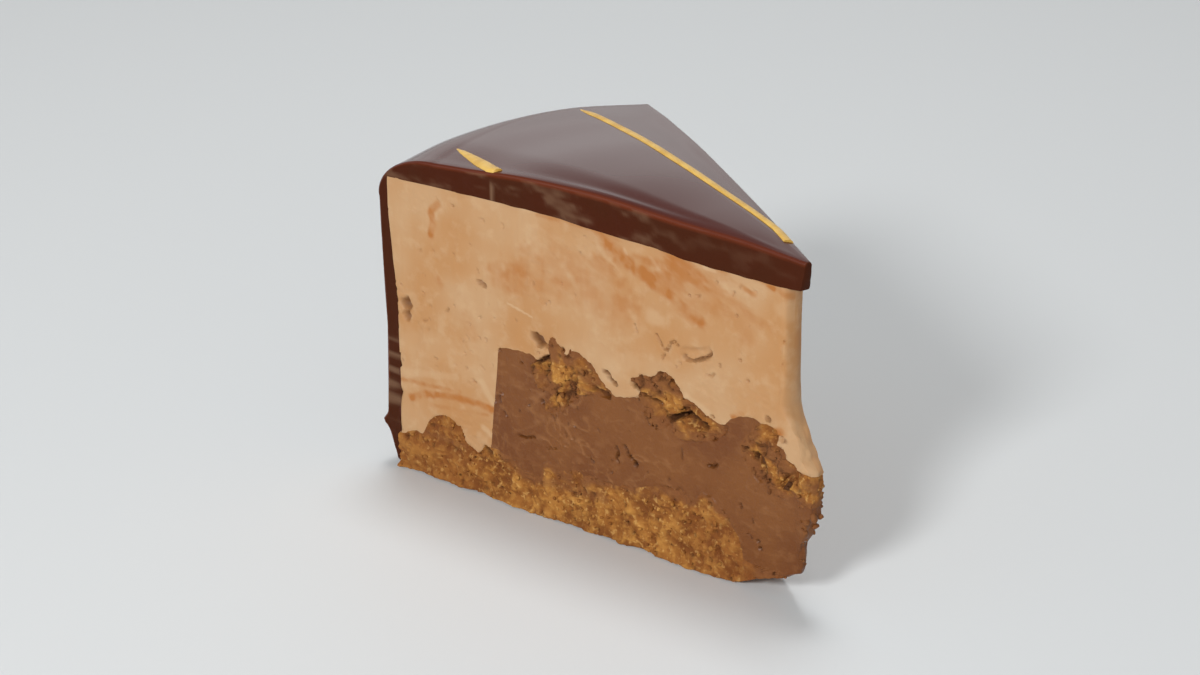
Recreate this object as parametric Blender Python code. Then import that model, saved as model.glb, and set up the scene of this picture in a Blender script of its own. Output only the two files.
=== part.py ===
# A slice of glazed mousse torte, one tenth of an 18 cm ring cake.
# Metres, +Z up. +X runs from the outer crust to the tip, the two cut faces look to -Y and +Y.
# The origin is the middle of the slice's box, on the surface that the slice stands on.
import math

import bmesh
import bpy
import numpy as np
from mathutils import Vector, noise

MM = 0.001

# Driving dimensions
CAKE_RADIUS = 90.9 * MM      # axis of the cake to the glaze on the outer side
SLICE_ANGLE = math.radians(37.0)
SEAM = 0.3 * MM              # gap between two layers that touch
TIP_X = 43.1 * MM            # the cake's axis, where the two cuts meet
TIP_HALF = 0.5 * MM          # half the blunt width of the tip
TIP_SWELL = 1.4 * MM         # extra half width where the soft filling swells at the tip
SWELL_HEIGHT = 22.0 * MM
SWELL_REACH = 6.4 * MM       # how far the swelling could run past the axis

# Outlines on the near cut: distance from the axis and height, in millimetres
BASE_TOP = [(2.2, 5.6), (7.7, 4.7), (10.9, 5.2), (12.1, 9.0), (15.0, 13.1), (19.6, 15.2), (21.7, 13.2),
            (24.3, 14.4), (29.4, 13.8), (35.2, 11.5), (40.8, 10.6), (46.5, 11.4), (50.8, 9.6), (53.3, 10.8),
            (54.7, 7.4), (58.7, 7.9), (63.7, 9.7), (68.7, 7.6), (71.7, 9.0), (72.9, 12.7), (76.3, 13.4),
            (80.1, 11.8), (81.9, 8.5), (86.9, 7.1)]
BASE_FLOOR = [(2.2, 4.2), (6.6, 3.0), (11.7, 0.4), (13.5, 0.0), (87.0, 0.0)]
FILLING_TOP = [(-1.5, 26.0), (1.5, 26.2), (4.5, 29.5), (9.5, 32.4), (12.5, 31.6), (15.2, 29.2), (24.0, 28.6),
               (30.0, 28.2), (38.0, 28.2), (46.5, 30.4), (54.4, 29.8), (56.6, 31.1), (61.0, 30.9), (63.8, 30.0)]
MOUSSE_TOP = [(0.0, 57.2), (6.0, 56.9), (18.0, 56.9), (25.0, 57.1), (30.0, 57.6), (45.0, 57.8), (51.0, 58.2),
              (58.0, 58.1), (70.0, 57.8), (88.6, 57.2)]
GLAZE_TOP = [(0.0, 62.2), (8.0, 62.9), (14.0, 63.3), (21.0, 63.3), (28.0, 63.5), (35.0, 63.9), (42.0, 64.2),
             (49.0, 64.1), (56.0, 63.9), (61.6, 63.5), (67.0, 62.8), (71.0, 62.4), (77.5, 61.9), (91.0, 60.2)]
GLAZE_TOP_FAR = [(0.0, 62.2), (5.0, 62.4), (13.0, 62.1), (24.0, 62.5), (40.0, 62.3), (57.0, 62.0),
                 (67.0, 61.4), (77.5, 60.9), (91.0, 59.2)]

# Outlines that run upwards: height and distance from the axis, in millimetres
TIP_FRONT = [(5.6, -0.3), (6.2, -0.6), (7.7, -1.2), (11.9, -1.1), (14.7, -2.4), (18.3, -3.9), (24.5, -4.1),
             (28.0, -2.2), (31.6, 0.1), (34.2, 2.1), (36.0, 3.1), (44.0, 3.4), (57.0, 3.6)]
SKIRT_OUTER = [(1.0, 88.4), (4.5, 89.4), (7.0, 90.2), (8.4, 90.6), (10.5, 90.5), (16.0, 90.4), (28.0, 90.1),
               (36.0, 90.4), (47.0, 90.8)]
SKIRT_INNER = [(1.0, 87.3), (7.0, 87.3), (17.5, 86.8), (34.0, 86.9), (46.0, 88.1), (52.0, 88.6), (56.9, 88.6)]

CROWN = 0.6 * MM                      # how much the top rises from the cuts towards the middle
SHOULDER_WIDE = (13.4 * MM, 3.6 * MM)    # rounding between top and side, at the near and the far cut
SHOULDER_HIGH = (8.4 * MM, 3.4 * MM)
SHOULDER_TURN = 1.35                  # the far cut's rounding is reached this much before it
CORNER_DROP = 3.5 * MM                # the inner corner under the shoulder is cut off this far down
TIP_LEAN = 1.3 * MM                   # the glaze's lower edge stands back at the tip
FOOT_LIP_HEIGHT = 8.4 * MM            # lip of spread glaze round the foot
FOOT_LIP_OUT = 1.2 * MM

WALL = 63.8 * MM             # outer wall of the chocolate filling, at its top
WALL_LEAN = 2.0 * MM         # how much further out that wall stands on the base
FILLING_FOOT = 5.6 * MM      # underside of the filling in front of the base
LANES = 8                    # cells from one cut face to the other
TOP_CELLS = 14               # cells of the glaze along the top, round the shoulder and through its thickness
SHOULDER_CELLS = 6
GLAZE_LAYERS = 2


def along(points, at):
    """Read a millimetre outline at a distance, or a height, in metres."""
    places, values = zip(*points)
    return float(np.interp(at / MM, places, values)) * MM


def hump(value, middle, width):
    return math.exp(-((value - middle) / width) ** 2)


def smooth(value):
    value = min(1.0, max(0.0, value))
    return value * value * (3.0 - 2.0 * value)


def crag(s, y, z, size, seed):
    """Smooth noise from about -1 to 1, one bump to each size."""
    return noise.noise(Vector((s / size + seed, y / size, z / size))) * 1.6


def half_width(s, z):
    """Half of the slice's width at a distance from the axis, blunt at the tip."""
    tip = TIP_HALF + TIP_SWELL * hump(z, SWELL_HEIGHT, 12 * MM) * hump(s, 0.0, 9 * MM)
    if s < 0.0:
        return tip * math.sqrt(max(0.05, 1.0 - (s / SWELL_REACH) ** 2))
    return tip + s * math.sin(SLICE_ANGLE / 2)


def place(s, v, z, relief=0.0):
    """Point at distance s from the axis; v is 0 on the near cut face and 1 on the far one."""
    side = 2.0 * v - 1.0
    swing = side * SLICE_ANGLE / 2
    tip = half_width(s, z) - max(s, 0.0) * math.sin(SLICE_ANGLE / 2)
    return Vector((TIP_X - (s * math.cos(swing) if s > 0.0 else s),
                   max(s, 0.0) * math.sin(swing) + side * (tip + relief), z))


def paint(name, colour, roughness):
    material = bpy.data.materials.new(name)
    material.use_nodes = True
    shader = material.node_tree.nodes["Principled BSDF"]
    shader.inputs["Base Color"].default_value = (*colour, 1.0)
    shader.inputs["Roughness"].default_value = roughness
    return material


def finish(mesh_data, name, material, collection):
    mesh = bpy.data.meshes.new(name)
    mesh_data.to_mesh(mesh)
    mesh_data.free()
    mesh.materials.append(material)
    mesh.shade_smooth()
    mesh.set_sharp_from_angle(angle=math.radians(50))
    piece = bpy.data.objects.new(name, mesh)
    collection.objects.link(piece)
    return piece


def block(name, columns, rows, form, material, collection):
    """A closed block of cells, from a grid raised row by row; form(i, v, w) gives each point."""
    cells = bmesh.new()
    bmesh.ops.create_grid(cells, x_segments=columns, y_segments=LANES, size=0.5)
    layer = cells.faces[:]
    for row in range(rows):
        raised = bmesh.ops.extrude_face_region(cells, geom=layer)["geom"]
        if row:
            bmesh.ops.delete(cells, geom=layer, context="FACES")
        layer = [item for item in raised if isinstance(item, bmesh.types.BMFace)]
        moved = [item for item in raised if isinstance(item, bmesh.types.BMVert)]
        bmesh.ops.translate(cells, vec=(0.0, 0.0, 1.0 / rows), verts=moved)
    for vert in cells.verts:
        vert.co = form(round((vert.co.x + 0.5) * columns), vert.co.y + 0.5, vert.co.z)
    bmesh.ops.recalc_face_normals(cells, faces=cells.faces)
    bmesh.ops.triangulate(cells, faces=cells.faces, quad_method="SHORT_EDGE")
    return finish(cells, name, material, collection)


def spaced(start, end, count):
    return [start + (end - start) * step / count for step in range(count + 1)]


# Distances from the axis where the layers that touch share their points
INNER_STOPS = spaced(2.2 * MM, 12.6 * MM, 4) + spaced(14.9 * MM, 62.0 * MM, 22)
OUTER_STOPS = spaced(WALL + WALL_LEAN + SEAM, 86.5 * MM, 9)
FRONT_STOPS = [-4.4 * MM, -2.0 * MM, 0.4 * MM]      # of the filling, in front of the base


def base_top(s, v):
    """Craggy top of the biscuit; the near face follows the outline, the far one its own."""
    y = (2 * v - 1) * half_width(s, 0.0)
    thick = np.clip((s - 11 * MM) / (8 * MM), 0.0, 1.0)
    near = along(BASE_TOP, s)
    far = along(BASE_TOP, s + 5 * MM) * 0.45 + (11.5 * MM * thick + 5.0 * MM * (1 - thick)) * 0.55
    rough = crag(s, y, 0.0, 6 * MM, 3.1) * 1.6 * MM * thick * min(1.0, 3 * v)
    return near * (1 - v) + far * v + rough


def filling_top(s, v):
    y = (2 * v - 1) * half_width(s, 0.0)
    near = along(FILLING_TOP, s)
    far = along(FILLING_TOP, s + 4 * MM) * 0.4 + 29.0 * MM * 0.6 - 3.0 * MM * hump(s, 0.0, 7 * MM)
    rough = crag(s, y, 1.0, 11 * MM, 7.7) * 1.2 * MM * min(1.0, 3 * v) * (1 - hump(s, WALL, 5 * MM))
    return near * (1 - v) + far * v + rough


def top_height(s, v):
    """Top of the glaze before it rounds off: a low crown that falls to the far cut."""
    crown = CROWN * smooth((s - 4 * MM) / (20 * MM)) * smooth(v / 0.1) * smooth((1 - v) / 0.3)
    share = v ** 2.5
    return along(GLAZE_TOP, s) * (1 - share) + along(GLAZE_TOP_FAR, s) * share + crown


def shoulder(v):
    """Centre (distance, height) and radii of the rounding between the top and the outer side."""
    turn = smooth(v * SHOULDER_TURN)
    wide = SHOULDER_WIDE[0] + (SHOULDER_WIDE[1] - SHOULDER_WIDE[0]) * turn
    high = SHOULDER_HIGH[0] + (SHOULDER_HIGH[1] - SHOULDER_HIGH[0]) * turn
    s = CAKE_RADIUS - wide
    return s, top_height(s, v) - high, wide, high


def glaze_top(s, v):
    middle, low, wide, high = shoulder(v)
    if s <= middle:
        return top_height(s, v)
    return low + high * math.sqrt(max(0.0, 1.0 - ((s - middle) / wide) ** 2))


def face_relief(s, v, z, w, size, depth, seed):
    """Roughness of a cut face, none inside the block and none on the block's own edges."""
    if v not in (0.0, 1.0) or w in (0.0, 1.0):
        return 0.0
    return crag(s, v * 0.04, z, size, seed) * depth


def biscuit_base(material, collection):
    stops = INNER_STOPS + [WALL + WALL_LEAN] + OUTER_STOPS
    rows = 4

    def form(i, v, w):
        s = stops[i]
        low = along(BASE_FLOOR, s)
        z = low + (base_top(s, v) - low) * w
        fade = min(1.0, max(0.0, (s - 10 * MM) / (6 * MM)))
        return place(s, v, z, face_relief(s, v, z, w, 2.4 * MM, 0.9 * MM * fade, 11.3))

    return block("biscuit_base", len(stops) - 1, rows, form, material, collection)


def chocolate_filling(material, collection):
    stops = FRONT_STOPS + INNER_STOPS + [WALL]
    rows = 6

    def form(i, v, w):
        s = stops[i]
        foot = s + WALL_LEAN if i == len(stops) - 1 else s
        low = (base_top(foot, v) if s >= INNER_STOPS[0] else FILLING_FOOT) + SEAM
        z = low + (filling_top(s, v) - low) * w
        s = foot + (s - foot) * w
        if s < INNER_STOPS[0]:
            share = (s - FRONT_STOPS[0]) / (INNER_STOPS[0] - FRONT_STOPS[0])
            front = along(TIP_FRONT, z)
            s = front + (INNER_STOPS[0] - front) * share
        return place(s, v, z, face_relief(s, v, z, w, 5 * MM, 0.3 * MM, 5.9))

    return block("chocolate_filling", len(stops) - 1, rows, form, material, collection)


def mousse(material, collection):
    inner = [FRONT_STOPS[1]] + INNER_STOPS[1:] + [WALL + SEAM]
    stops = inner + OUTER_STOPS
    rows = 7

    def form(i, v, w):
        s = stops[i]
        low = (filling_top(s, v) if i < len(inner) else base_top(s, v)) + SEAM
        z = low + (along(MOUSSE_TOP, s) - SEAM - low) * w
        if i == 0:
            s = along(TIP_FRONT, z)
        elif i == len(stops) - 1:
            s = min(s, along(SKIRT_INNER, z) - SEAM)
        return place(s, v, z, face_relief(s, v, z, w, 13 * MM, 0.22 * MM, 2.4))

    return block("mousse", len(stops) - 1, rows, form, material, collection)


def glaze_path(v):
    """Matching points on the outside and the inside of the glaze, from the tip to the foot."""
    middle, low, wide, high = shoulder(v)
    bend = shoulder(0.0)[0]
    inner = spaced(SEAM, bend, TOP_CELLS)
    path = [(s, glaze_top(s, v), reach, along(MOUSSE_TOP, reach))
            for s, reach in zip(spaced(SEAM, middle, TOP_CELLS), inner)]
    path[0] = (*path[0][:2], SEAM + TIP_LEAN, path[0][3])
    corner = along(SKIRT_INNER, MOUSSE_TOP[-1][1] * MM)
    level = SHOULDER_CELLS - 2      # these cells run level on the inside, the last two cut the corner off
    for step in range(1, SHOULDER_CELLS + 1):
        angle = math.pi / 2 * step / SHOULDER_CELLS
        reach = bend + (corner - bend) * min(1.0, step / level)
        drop = max(0.0, step - level) / 2
        path.append((middle + wide * math.sin(angle), low + high * math.cos(angle),
                     reach, along(MOUSSE_TOP, reach) - CORNER_DROP * drop))
    for height, reach in reversed(SKIRT_OUTER):
        path.append((reach * MM, height * MM, along(SKIRT_INNER, height * MM), height * MM))
    return path


def glaze(material, collection):
    paths = [glaze_path(lane / LANES) for lane in range(LANES + 1)]

    def form(i, v, w):
        outer_s, outer_z, inner_s, inner_z = paths[round(v * LANES)][i]
        lip = FOOT_LIP_OUT * hump(outer_z, FOOT_LIP_HEIGHT, 1.4 * MM)
        outer_s += lip * (0.25 + 0.75 * hump(v, 0.0, 0.15))
        return place(inner_s + (outer_s - inner_s) * w, v, inner_z + (outer_z - inner_z) * w)

    return block("glaze", len(paths[0]) - 1, GLAZE_LAYERS, form, material, collection)


# Piped stripes: points (distance from the axis along X, position across Y) in millimetres, and half widths
STRIPES = {
    "stripe_long": ([(85.6, 13.9), (66.5, 11.3), (47.1, 8.0), (30.5, 5.9), (15.2, 4.15), (9.0, 3.2)],
                    0.4 * MM, 0.87 * MM),
    "stripe_short": ([(77.3, -18.0), (70.9, -18.85), (63.9, -20.0), (61.8, -20.2)], 0.25 * MM, 1.5 * MM),
}
STRIPE_HEIGHT = 0.45 * MM
STRIPE_SINK = 1.2 * MM       # how far a stripe's body reaches down into the glaze
STRIPE_MARGIN = 0.25 * MM    # a stripe keeps this clear of a cut
STRIPE_CELLS = 16


def stripe(name, form, material, collection):
    """A low ridge along a line on the glaze, sunk a little into it."""
    points, slim, broad = form
    reach, across = zip(*reversed(points))
    strip = bmesh.new()
    bmesh.ops.create_grid(strip, x_segments=STRIPE_CELLS, y_segments=2, size=0.5)
    raised = bmesh.ops.extrude_face_region(strip, geom=strip.faces[:])["geom"]
    bmesh.ops.translate(strip, vec=(0.0, 0.0, 1.0), verts=[v for v in raised if isinstance(v, bmesh.types.BMVert)])
    for vert in strip.verts:
        t, side, top = vert.co.x + 0.5, vert.co.y * 2, vert.co.z > 0.5
        away = (points[0][0] + (points[-1][0] - points[0][0]) * t) * MM
        half = slim + (broad - slim) * min(1.0, 2.5 * t)
        y = float(np.interp(away / MM, reach, across)) * MM
        room = half_width(away / math.cos(SLICE_ANGLE / 2), GLAZE_TOP[0][1] * MM) - half - STRIPE_MARGIN
        y = min(room, max(-room, y)) + side * half * (0.8 if top else 1.0)
        s = math.hypot(away, y)
        v = 0.5 + math.atan2(y, away) / SLICE_ANGLE
        lift = STRIPE_HEIGHT * (1.0 - 0.25 * abs(side)) if top else -STRIPE_SINK
        vert.co = (TIP_X - away, y, glaze_top(s, min(1.0, max(0.0, v))) + lift)
    bmesh.ops.recalc_face_normals(strip, faces=strip.faces)
    return finish(strip, name, material, collection)


# Biscuit chunks: distance, height, radii along, up and across, cut face (0, 1 or 0.5 for the middle)
CHUNKS = [
    (48.5, 27.8, 9.6, 6.8, 6.0, 0.0),
    (25.0, 29.3, 10.2, 4.6, 5.0, 0.0),
    (3.6, 26.4, 8.4, 6.4, 6.0, 0.5),
    (56.0, 30.5, 7.0, 4.4, 5.0, 1.0),
    (35.0, 28.0, 10.5, 5.6, 6.0, 1.0),
]
CHUNK_TILT = [-12.0, -18.0, -8.0, 8.0, -6.0]
CHUNK_SINK = 2.6 * MM        # how deep behind its cut face a chunk has its middle
CHUNK_RELIEF = 1.1 * MM      # crags of a chunk where it is cut through


def cut_reach(middle, arm):
    """Share of an arm, drawn from the middle, that lies between the two cut faces."""
    inside, outside = 0.0, 1.0
    for _ in range(20):
        share = (inside + outside) / 2
        spot = middle + arm * share
        if abs(spot.y) < half_width((TIP_X - spot.x) / math.cos(SLICE_ANGLE / 2), spot.z):
            inside = share
        else:
            outside = share
    return outside


def chunk(index, grow, material, collection):
    """A craggy lump, cut off where a cut face runs through it; grown, it is the hollow that it lies in."""
    along_s, height, long, tall, deep, v = CHUNKS[index]
    side = 2 * v - 1
    swing = side * SLICE_ANGLE / 2
    tilt = math.radians(CHUNK_TILT[index])
    middle = place(along_s * MM, v, height * MM, relief=-CHUNK_SINK if side else 0.0)
    ball = bmesh.new()
    bmesh.ops.create_icosphere(ball, subdivisions=3, radius=1.0)
    for vert in ball.verts:
        way = vert.co.normalized()
        rough = 1.0 + 0.16 * noise.noise(way * 2.1 + Vector((index * 5.3, 0.0, 0.0)))
        rough += 0.10 * noise.noise(way * 4.7 + Vector((0.0, index * 3.1, 0.0)))
        lump = Vector((way.x * long, way.y * deep, way.z * tall)) * MM * rough
        lump += lump.normalized() * grow
        reach = lump.x * math.cos(tilt) - lump.z * math.sin(tilt)
        rise = lump.x * math.sin(tilt) + lump.z * math.cos(tilt)
        arm = Vector((-reach * math.cos(swing) - lump.y * math.sin(swing),
                      reach * math.sin(swing) - lump.y * math.cos(swing), rise))
        share = cut_reach(middle, arm) if not grow else 1.0
        vert.co = middle + arm * share
        if share < 0.8:
            bump = crag(vert.co.x, v, vert.co.z, 1.9 * MM, 17.0 + index) * CHUNK_RELIEF
            vert.co.y += math.copysign(bump, vert.co.y) * (0.8 - share) / 0.8
    name = f"biscuit_chunk_{index + 1}" + ("_hollow" if grow else "")
    return finish(ball, name, material, collection)


def boolean(piece, operation, other):
    step = piece.modifiers.new(operation.lower(), "BOOLEAN")
    step.operation = operation
    step.solver = "EXACT"
    step.object = other
    other.hide_render = True
    other.display_type = "WIRE"


def build():
    for item in list(bpy.data.objects):
        bpy.data.objects.remove(item, do_unlink=True)
    torte = bpy.data.collections.new("torte_slice")
    cutters = bpy.data.collections.new("cutters")
    for collection in (torte, cutters):
        bpy.context.scene.collection.children.link(collection)

    glaze_paint = paint("dark_glaze", (0.055, 0.022, 0.014), 0.15)
    mousse_paint = paint("caramel_mousse", (0.56, 0.34, 0.18), 0.6)
    filling_paint = paint("milk_chocolate", (0.25, 0.11, 0.05), 0.55)
    biscuit_paint = paint("golden_biscuit", (0.42, 0.19, 0.055), 0.85)
    stripe_paint = paint("yellow_icing", (0.83, 0.56, 0.15), 0.4)

    top = glaze(glaze_paint, torte)
    for name, form in STRIPES.items():
        boolean(top, "UNION", stripe(name, form, stripe_paint, cutters))
    soft = [mousse(mousse_paint, torte), chocolate_filling(filling_paint, torte)]
    biscuit_base(biscuit_paint, torte)
    for index in range(len(CHUNKS)):
        chunk(index, 0.0, biscuit_paint, torte)
        hollow = chunk(index, SEAM, biscuit_paint, cutters)
        for layer in soft:
            boolean(layer, "DIFFERENCE", hollow)


build()
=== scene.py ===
import math

import bmesh
import bpy
import numpy as np
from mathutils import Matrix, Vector


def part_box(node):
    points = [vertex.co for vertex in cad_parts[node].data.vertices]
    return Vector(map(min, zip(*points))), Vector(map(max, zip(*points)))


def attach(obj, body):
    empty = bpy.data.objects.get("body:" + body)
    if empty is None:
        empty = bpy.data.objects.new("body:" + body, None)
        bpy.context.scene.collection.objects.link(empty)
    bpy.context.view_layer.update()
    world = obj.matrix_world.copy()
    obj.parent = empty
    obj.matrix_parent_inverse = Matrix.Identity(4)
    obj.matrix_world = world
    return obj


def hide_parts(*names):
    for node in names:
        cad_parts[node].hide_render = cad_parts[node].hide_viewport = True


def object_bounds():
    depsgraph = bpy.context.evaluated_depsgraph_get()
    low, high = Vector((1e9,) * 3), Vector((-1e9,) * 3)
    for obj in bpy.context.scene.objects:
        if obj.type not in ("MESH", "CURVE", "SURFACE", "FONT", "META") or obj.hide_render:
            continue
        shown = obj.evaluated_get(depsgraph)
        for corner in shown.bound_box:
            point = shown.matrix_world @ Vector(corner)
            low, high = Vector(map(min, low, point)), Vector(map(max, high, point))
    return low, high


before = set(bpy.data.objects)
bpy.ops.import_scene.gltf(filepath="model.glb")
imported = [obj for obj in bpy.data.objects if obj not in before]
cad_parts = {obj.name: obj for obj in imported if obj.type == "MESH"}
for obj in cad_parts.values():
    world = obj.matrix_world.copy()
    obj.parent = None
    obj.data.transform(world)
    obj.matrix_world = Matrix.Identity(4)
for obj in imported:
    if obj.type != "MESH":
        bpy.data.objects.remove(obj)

cadBox = [list(corner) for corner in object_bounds()]
print("frame loaded:", ", ".join(sorted(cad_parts)))

# One slice of a glazed mousse torte. All shape work is in millimetres:
# s is the distance from the cake's axis, z the height, v goes from the near cut (0) to the far cut (1).
torteForm = {
    "angle": math.radians(37.0),
    "tipGap": 0.3,            # the glaze starts this far from the axis
    "tipHalf": 0.5,           # half the blunt width of the tip
    "tipSwell": 1.4,          # extra half width where the soft filling swells
    "swellHeight": 22.0,
    "swellReach": 6.4,
    "crown": 0.6,             # the top rises this much from the cuts towards the middle
    "onTop": 60.0,            # a height near the top, for its width
}
cutSlope = math.sin(torteForm["angle"] / 2)     # how fast half the width grows with s
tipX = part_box("glaze")[1][0] * 1000 + torteForm["tipGap"]

# Outlines on the near cut, (s, z)
baseTopLine = [(2.2, 5), (7.7, 4.6), (10.9, 5.2), (11.9, 9), (13.7, 11.4), (15, 13.1), (17.1, 14.4),
               (19.6, 15.2), (21.7, 13.2), (24.3, 14.4), (29.4, 13.8), (35.2, 11.5), (40.8, 10.6),
               (46.5, 11.4), (50.8, 9.6), (52.7, 11), (53.7, 10.6), (54.7, 7.6), (58.7, 7.9), (61.7, 9.4),
               (63.7, 10), (67.3, 10.3), (68.7, 7.9), (71.7, 8.9), (72.9, 12.4), (76.3, 13.3), (80.1, 11.8),
               (81.9, 8.5), (86.9, 7.1)]
floorLine = [(2.2, 4.2), (6.6, 3), (11.7, 0.4), (13.5, 0), (87, 0)]
fillingTopLine = [(-1.5, 22), (1.5, 24.5), (4.5, 29.5), (7.4, 31.6), (9.5, 32.4), (12.5, 31.6), (14.2, 30.5),
                  (15.2, 29.2), (24, 28.6), (34.1, 29.2), (35.7, 28.6), (37.8, 28.2), (40.4, 29.6), (43.4, 33),
                  (46.5, 33.8), (48.9, 32.4), (50.5, 31.2), (54.4, 29.8), (56.6, 31.1), (61, 30.9), (65, 29.9)]
tipLine = [(0, 3), (4.2, 2.6), (5.4, 1), (6.2, -0.6), (7.7, -1.2), (11.9, -1.1), (14.7, -2.4), (17.3, -3.2),
           (18.3, -3.9), (20.9, -3.9), (24.5, -4.1), (26.5, -3.6), (28, -2.2), (31.6, 0.1), (34.2, 2.1),
           (36, 3.1), (44, 3.4), (57, 3.6)]
mousseTopLine = [(0, 57.2), (6, 56.9), (18, 56.9), (25, 57.1), (30, 57.6), (45, 57.8), (51, 58.2), (58, 58.1),
                 (70, 57.8), (88.6, 57.2)]
glazeTopLine = [(-8, 61.5), (0, 62.2), (8, 62.9), (14, 63.3), (21, 63.3), (28, 63.5), (35, 63.9), (42, 64.2),
                (49, 64.1), (56, 63.9), (61.6, 63.5), (67, 62.8), (71, 62.4), (77.5, 61.9), (91, 60.2),
                (99, 59.2)]
farTopLine = [(-8, 61.8), (0, 62.2), (13, 62.3), (24, 62.4), (40, 62.3), (57, 62), (67, 61.4), (77.5, 60.7),
              (91, 59.2), (99, 58.2)]
skirtOuterLine = [(56, 90.8), (47, 90.65), (36, 90.25), (28, 89.95), (16, 90.25), (10.5, 90.4), (8.4, 90.5),
                  (7, 90.2), (4.5, 89.4), (1, 88.4)]
skirtInnerLine = [(56.9, 88.6), (52, 88.6), (46, 88.1), (34, 86.9), (17.5, 86.8), (7, 87.3), (1, 87.3)]
fillingWallLine = [(-6, 67.2), (11.8, 66), (15.8, 65), (23.2, 64.4), (30, 63.7)]
# The rounding between top and side is wider and higher at the near cut than at the far one
shoulder = {"outer": 90.9, "wide": (13.4, 3.6), "high": (8.4, 3.4)}


def along(line, at):
    line = sorted(line)
    return np.interp(at, [point[0] for point in line], [point[1] for point in line])


def smooth(value):
    value = np.clip(value, 0.0, 1.0)
    return value * value * (3 - 2 * value)


def hump(value, middle, width):
    return np.exp(-((value - middle) / width) ** 2)


def scramble(ix, iy, iz, seed):     # whole numbers in, an even spread from 0 to 1 out
    n = (ix * 374761393 + iy * 668265263 + iz * 1440662683 + seed * 974634777) & 0xffffffff
    n = ((n ^ (n >> 13)) * 1274126177) & 0xffffffff
    return (n ^ (n >> 16)) / 4294967296.0


def softNoise(x, y, z, size, seed):     # smooth bumps from -1 to 1, one to each size
    x, y, z = np.broadcast_arrays(x / size, y / size, z / size)
    corner = [np.floor(part).astype(np.int64) for part in (x, y, z)]
    share = [smooth(part - low) for part, low in zip((x, y, z), corner)]
    total = np.zeros(x.shape)
    for dx in (0, 1):
        for dy in (0, 1):
            for dz in (0, 1):
                weight = (share[0] if dx else 1 - share[0]) * (share[1] if dy else 1 - share[1])
                weight = weight * (share[2] if dz else 1 - share[2])
                total += weight * scramble(corner[0] + dx, corner[1] + dy, corner[2] + dz, seed)
    return total * 2 - 1


def layeredNoise(x, y, z, size, seed, layers=3):
    total = 0.0
    for layer in range(layers):
        total = total + softNoise(x, y, z, size / 2 ** layer, seed + layer) / 2 ** layer
    return total / 1.6


def grains(x, y, size, seed):     # distance to the nearest grain, and that grain's own tone
    x, y = np.broadcast_arrays(x / size, y / size)
    ix, iy = np.floor(x).astype(np.int64), np.floor(y).astype(np.int64)
    nearest, tone = np.full(x.shape, 9.0), np.zeros(x.shape)
    for dx in (-1, 0, 1):
        for dy in (-1, 0, 1):
            gx, gy = ix + dx, iy + dy
            px = gx + 0.15 + 0.7 * scramble(gx, gy, 1, seed)
            py = gy + 0.15 + 0.7 * scramble(gx, gy, 2, seed)
            away = np.hypot(px - x, py - y)
            tone = np.where(away < nearest, scramble(gx, gy, 3, seed), tone)
            nearest = np.minimum(nearest, away)
    return nearest, tone


def strokeGap(s, z, points):     # distance to a line through the points
    best = np.full(np.shape(s), 1e9)
    if len(points) == 1:
        return np.hypot(s - points[0][0], z - points[0][1])
    for (s0, z0), (s1, z1) in zip(points, points[1:]):
        ds, dz = s1 - s0, z1 - z0
        share = np.clip(((s - s0) * ds + (z - z0) * dz) / (ds * ds + dz * dz), 0.0, 1.0)
        best = np.minimum(best, np.hypot(s - s0 - share * ds, z - z0 - share * dz))
    return best


def halfWidth(s, z):
    swell = torteForm["tipSwell"] * hump(z, torteForm["swellHeight"], 12.0) * hump(s, 0.0, 9.0)
    tip = torteForm["tipHalf"] + swell
    behind = tip * np.sqrt(np.maximum(0.05, 1 - (np.minimum(s, 0.0) / torteForm["swellReach"]) ** 2))
    return np.where(s < 0, behind, tip + s * cutSlope)


def placePoints(s, v, z, relief=0.0):     # relief stands out of the cut faces
    side = 2 * v - 1
    swing = side * torteForm["angle"] / 2
    tip = halfWidth(s, z) - np.maximum(s, 0) * cutSlope
    x = tipX - np.where(s > 0, s * np.cos(swing), s)
    y = np.maximum(s, 0) * np.sin(swing) + side * (tip + relief)
    return np.stack(np.broadcast_arrays(x, y, z), -1) * 0.001


def cutPlace(points):     # back from metres to (s, v, z)
    x, y, z = (points * 1000).T
    reach = tipX - x
    s = np.where(reach > 0, np.hypot(reach, y), reach)
    v = 0.5 + np.arctan2(y, np.maximum(reach, 0.5)) / torteForm["angle"]
    return s, v, z


def baseTop(s, v):
    y = (2 * v - 1) * (s * 0.32 + 1)
    thick = smooth((s - 10.5) / 4.0)
    near = along(baseTopLine, s)
    far = along(baseTopLine, s + 5) * 0.45 + (11.5 * thick + 5.0 * (1 - thick)) * 0.55
    rough = softNoise(s, y, 0.0, 6.0, 31) * 1.4 * np.minimum(1, 3 * v) * thick
    ragged = softNoise(s, y, 0.0, 1.5, 32) * 0.45 + softNoise(s, y, 0.0, 0.7, 33) * 0.25
    return near * (1 - v) + far * v + rough + ragged * thick


def fillingTop(s, v):
    y = (2 * v - 1) * (s * 0.32 + 1)
    near = along(fillingTopLine, s)
    far = along(fillingTopLine, s + 4) * 0.4 + 29.0 * 0.6 - 3.0 * hump(s, 0.0, 7.0)
    rough = softNoise(s, y, 0.0, 11.0, 41) * 1.2 * np.minimum(1, 3 * v) * (1 - hump(s, 64.0, 5.0))
    ragged = softNoise(s, y, 0.0, 1.6, 42) * 0.18 + softNoise(s, y, 0.0, 0.6, 43) * 0.10
    return near * (1 - v) + far * v + rough + ragged


def fillingWall(v, z):
    return along(fillingWallLine, z) + softNoise(z, v * 60, 0.0, 1.8, 44) * 0.14


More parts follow.
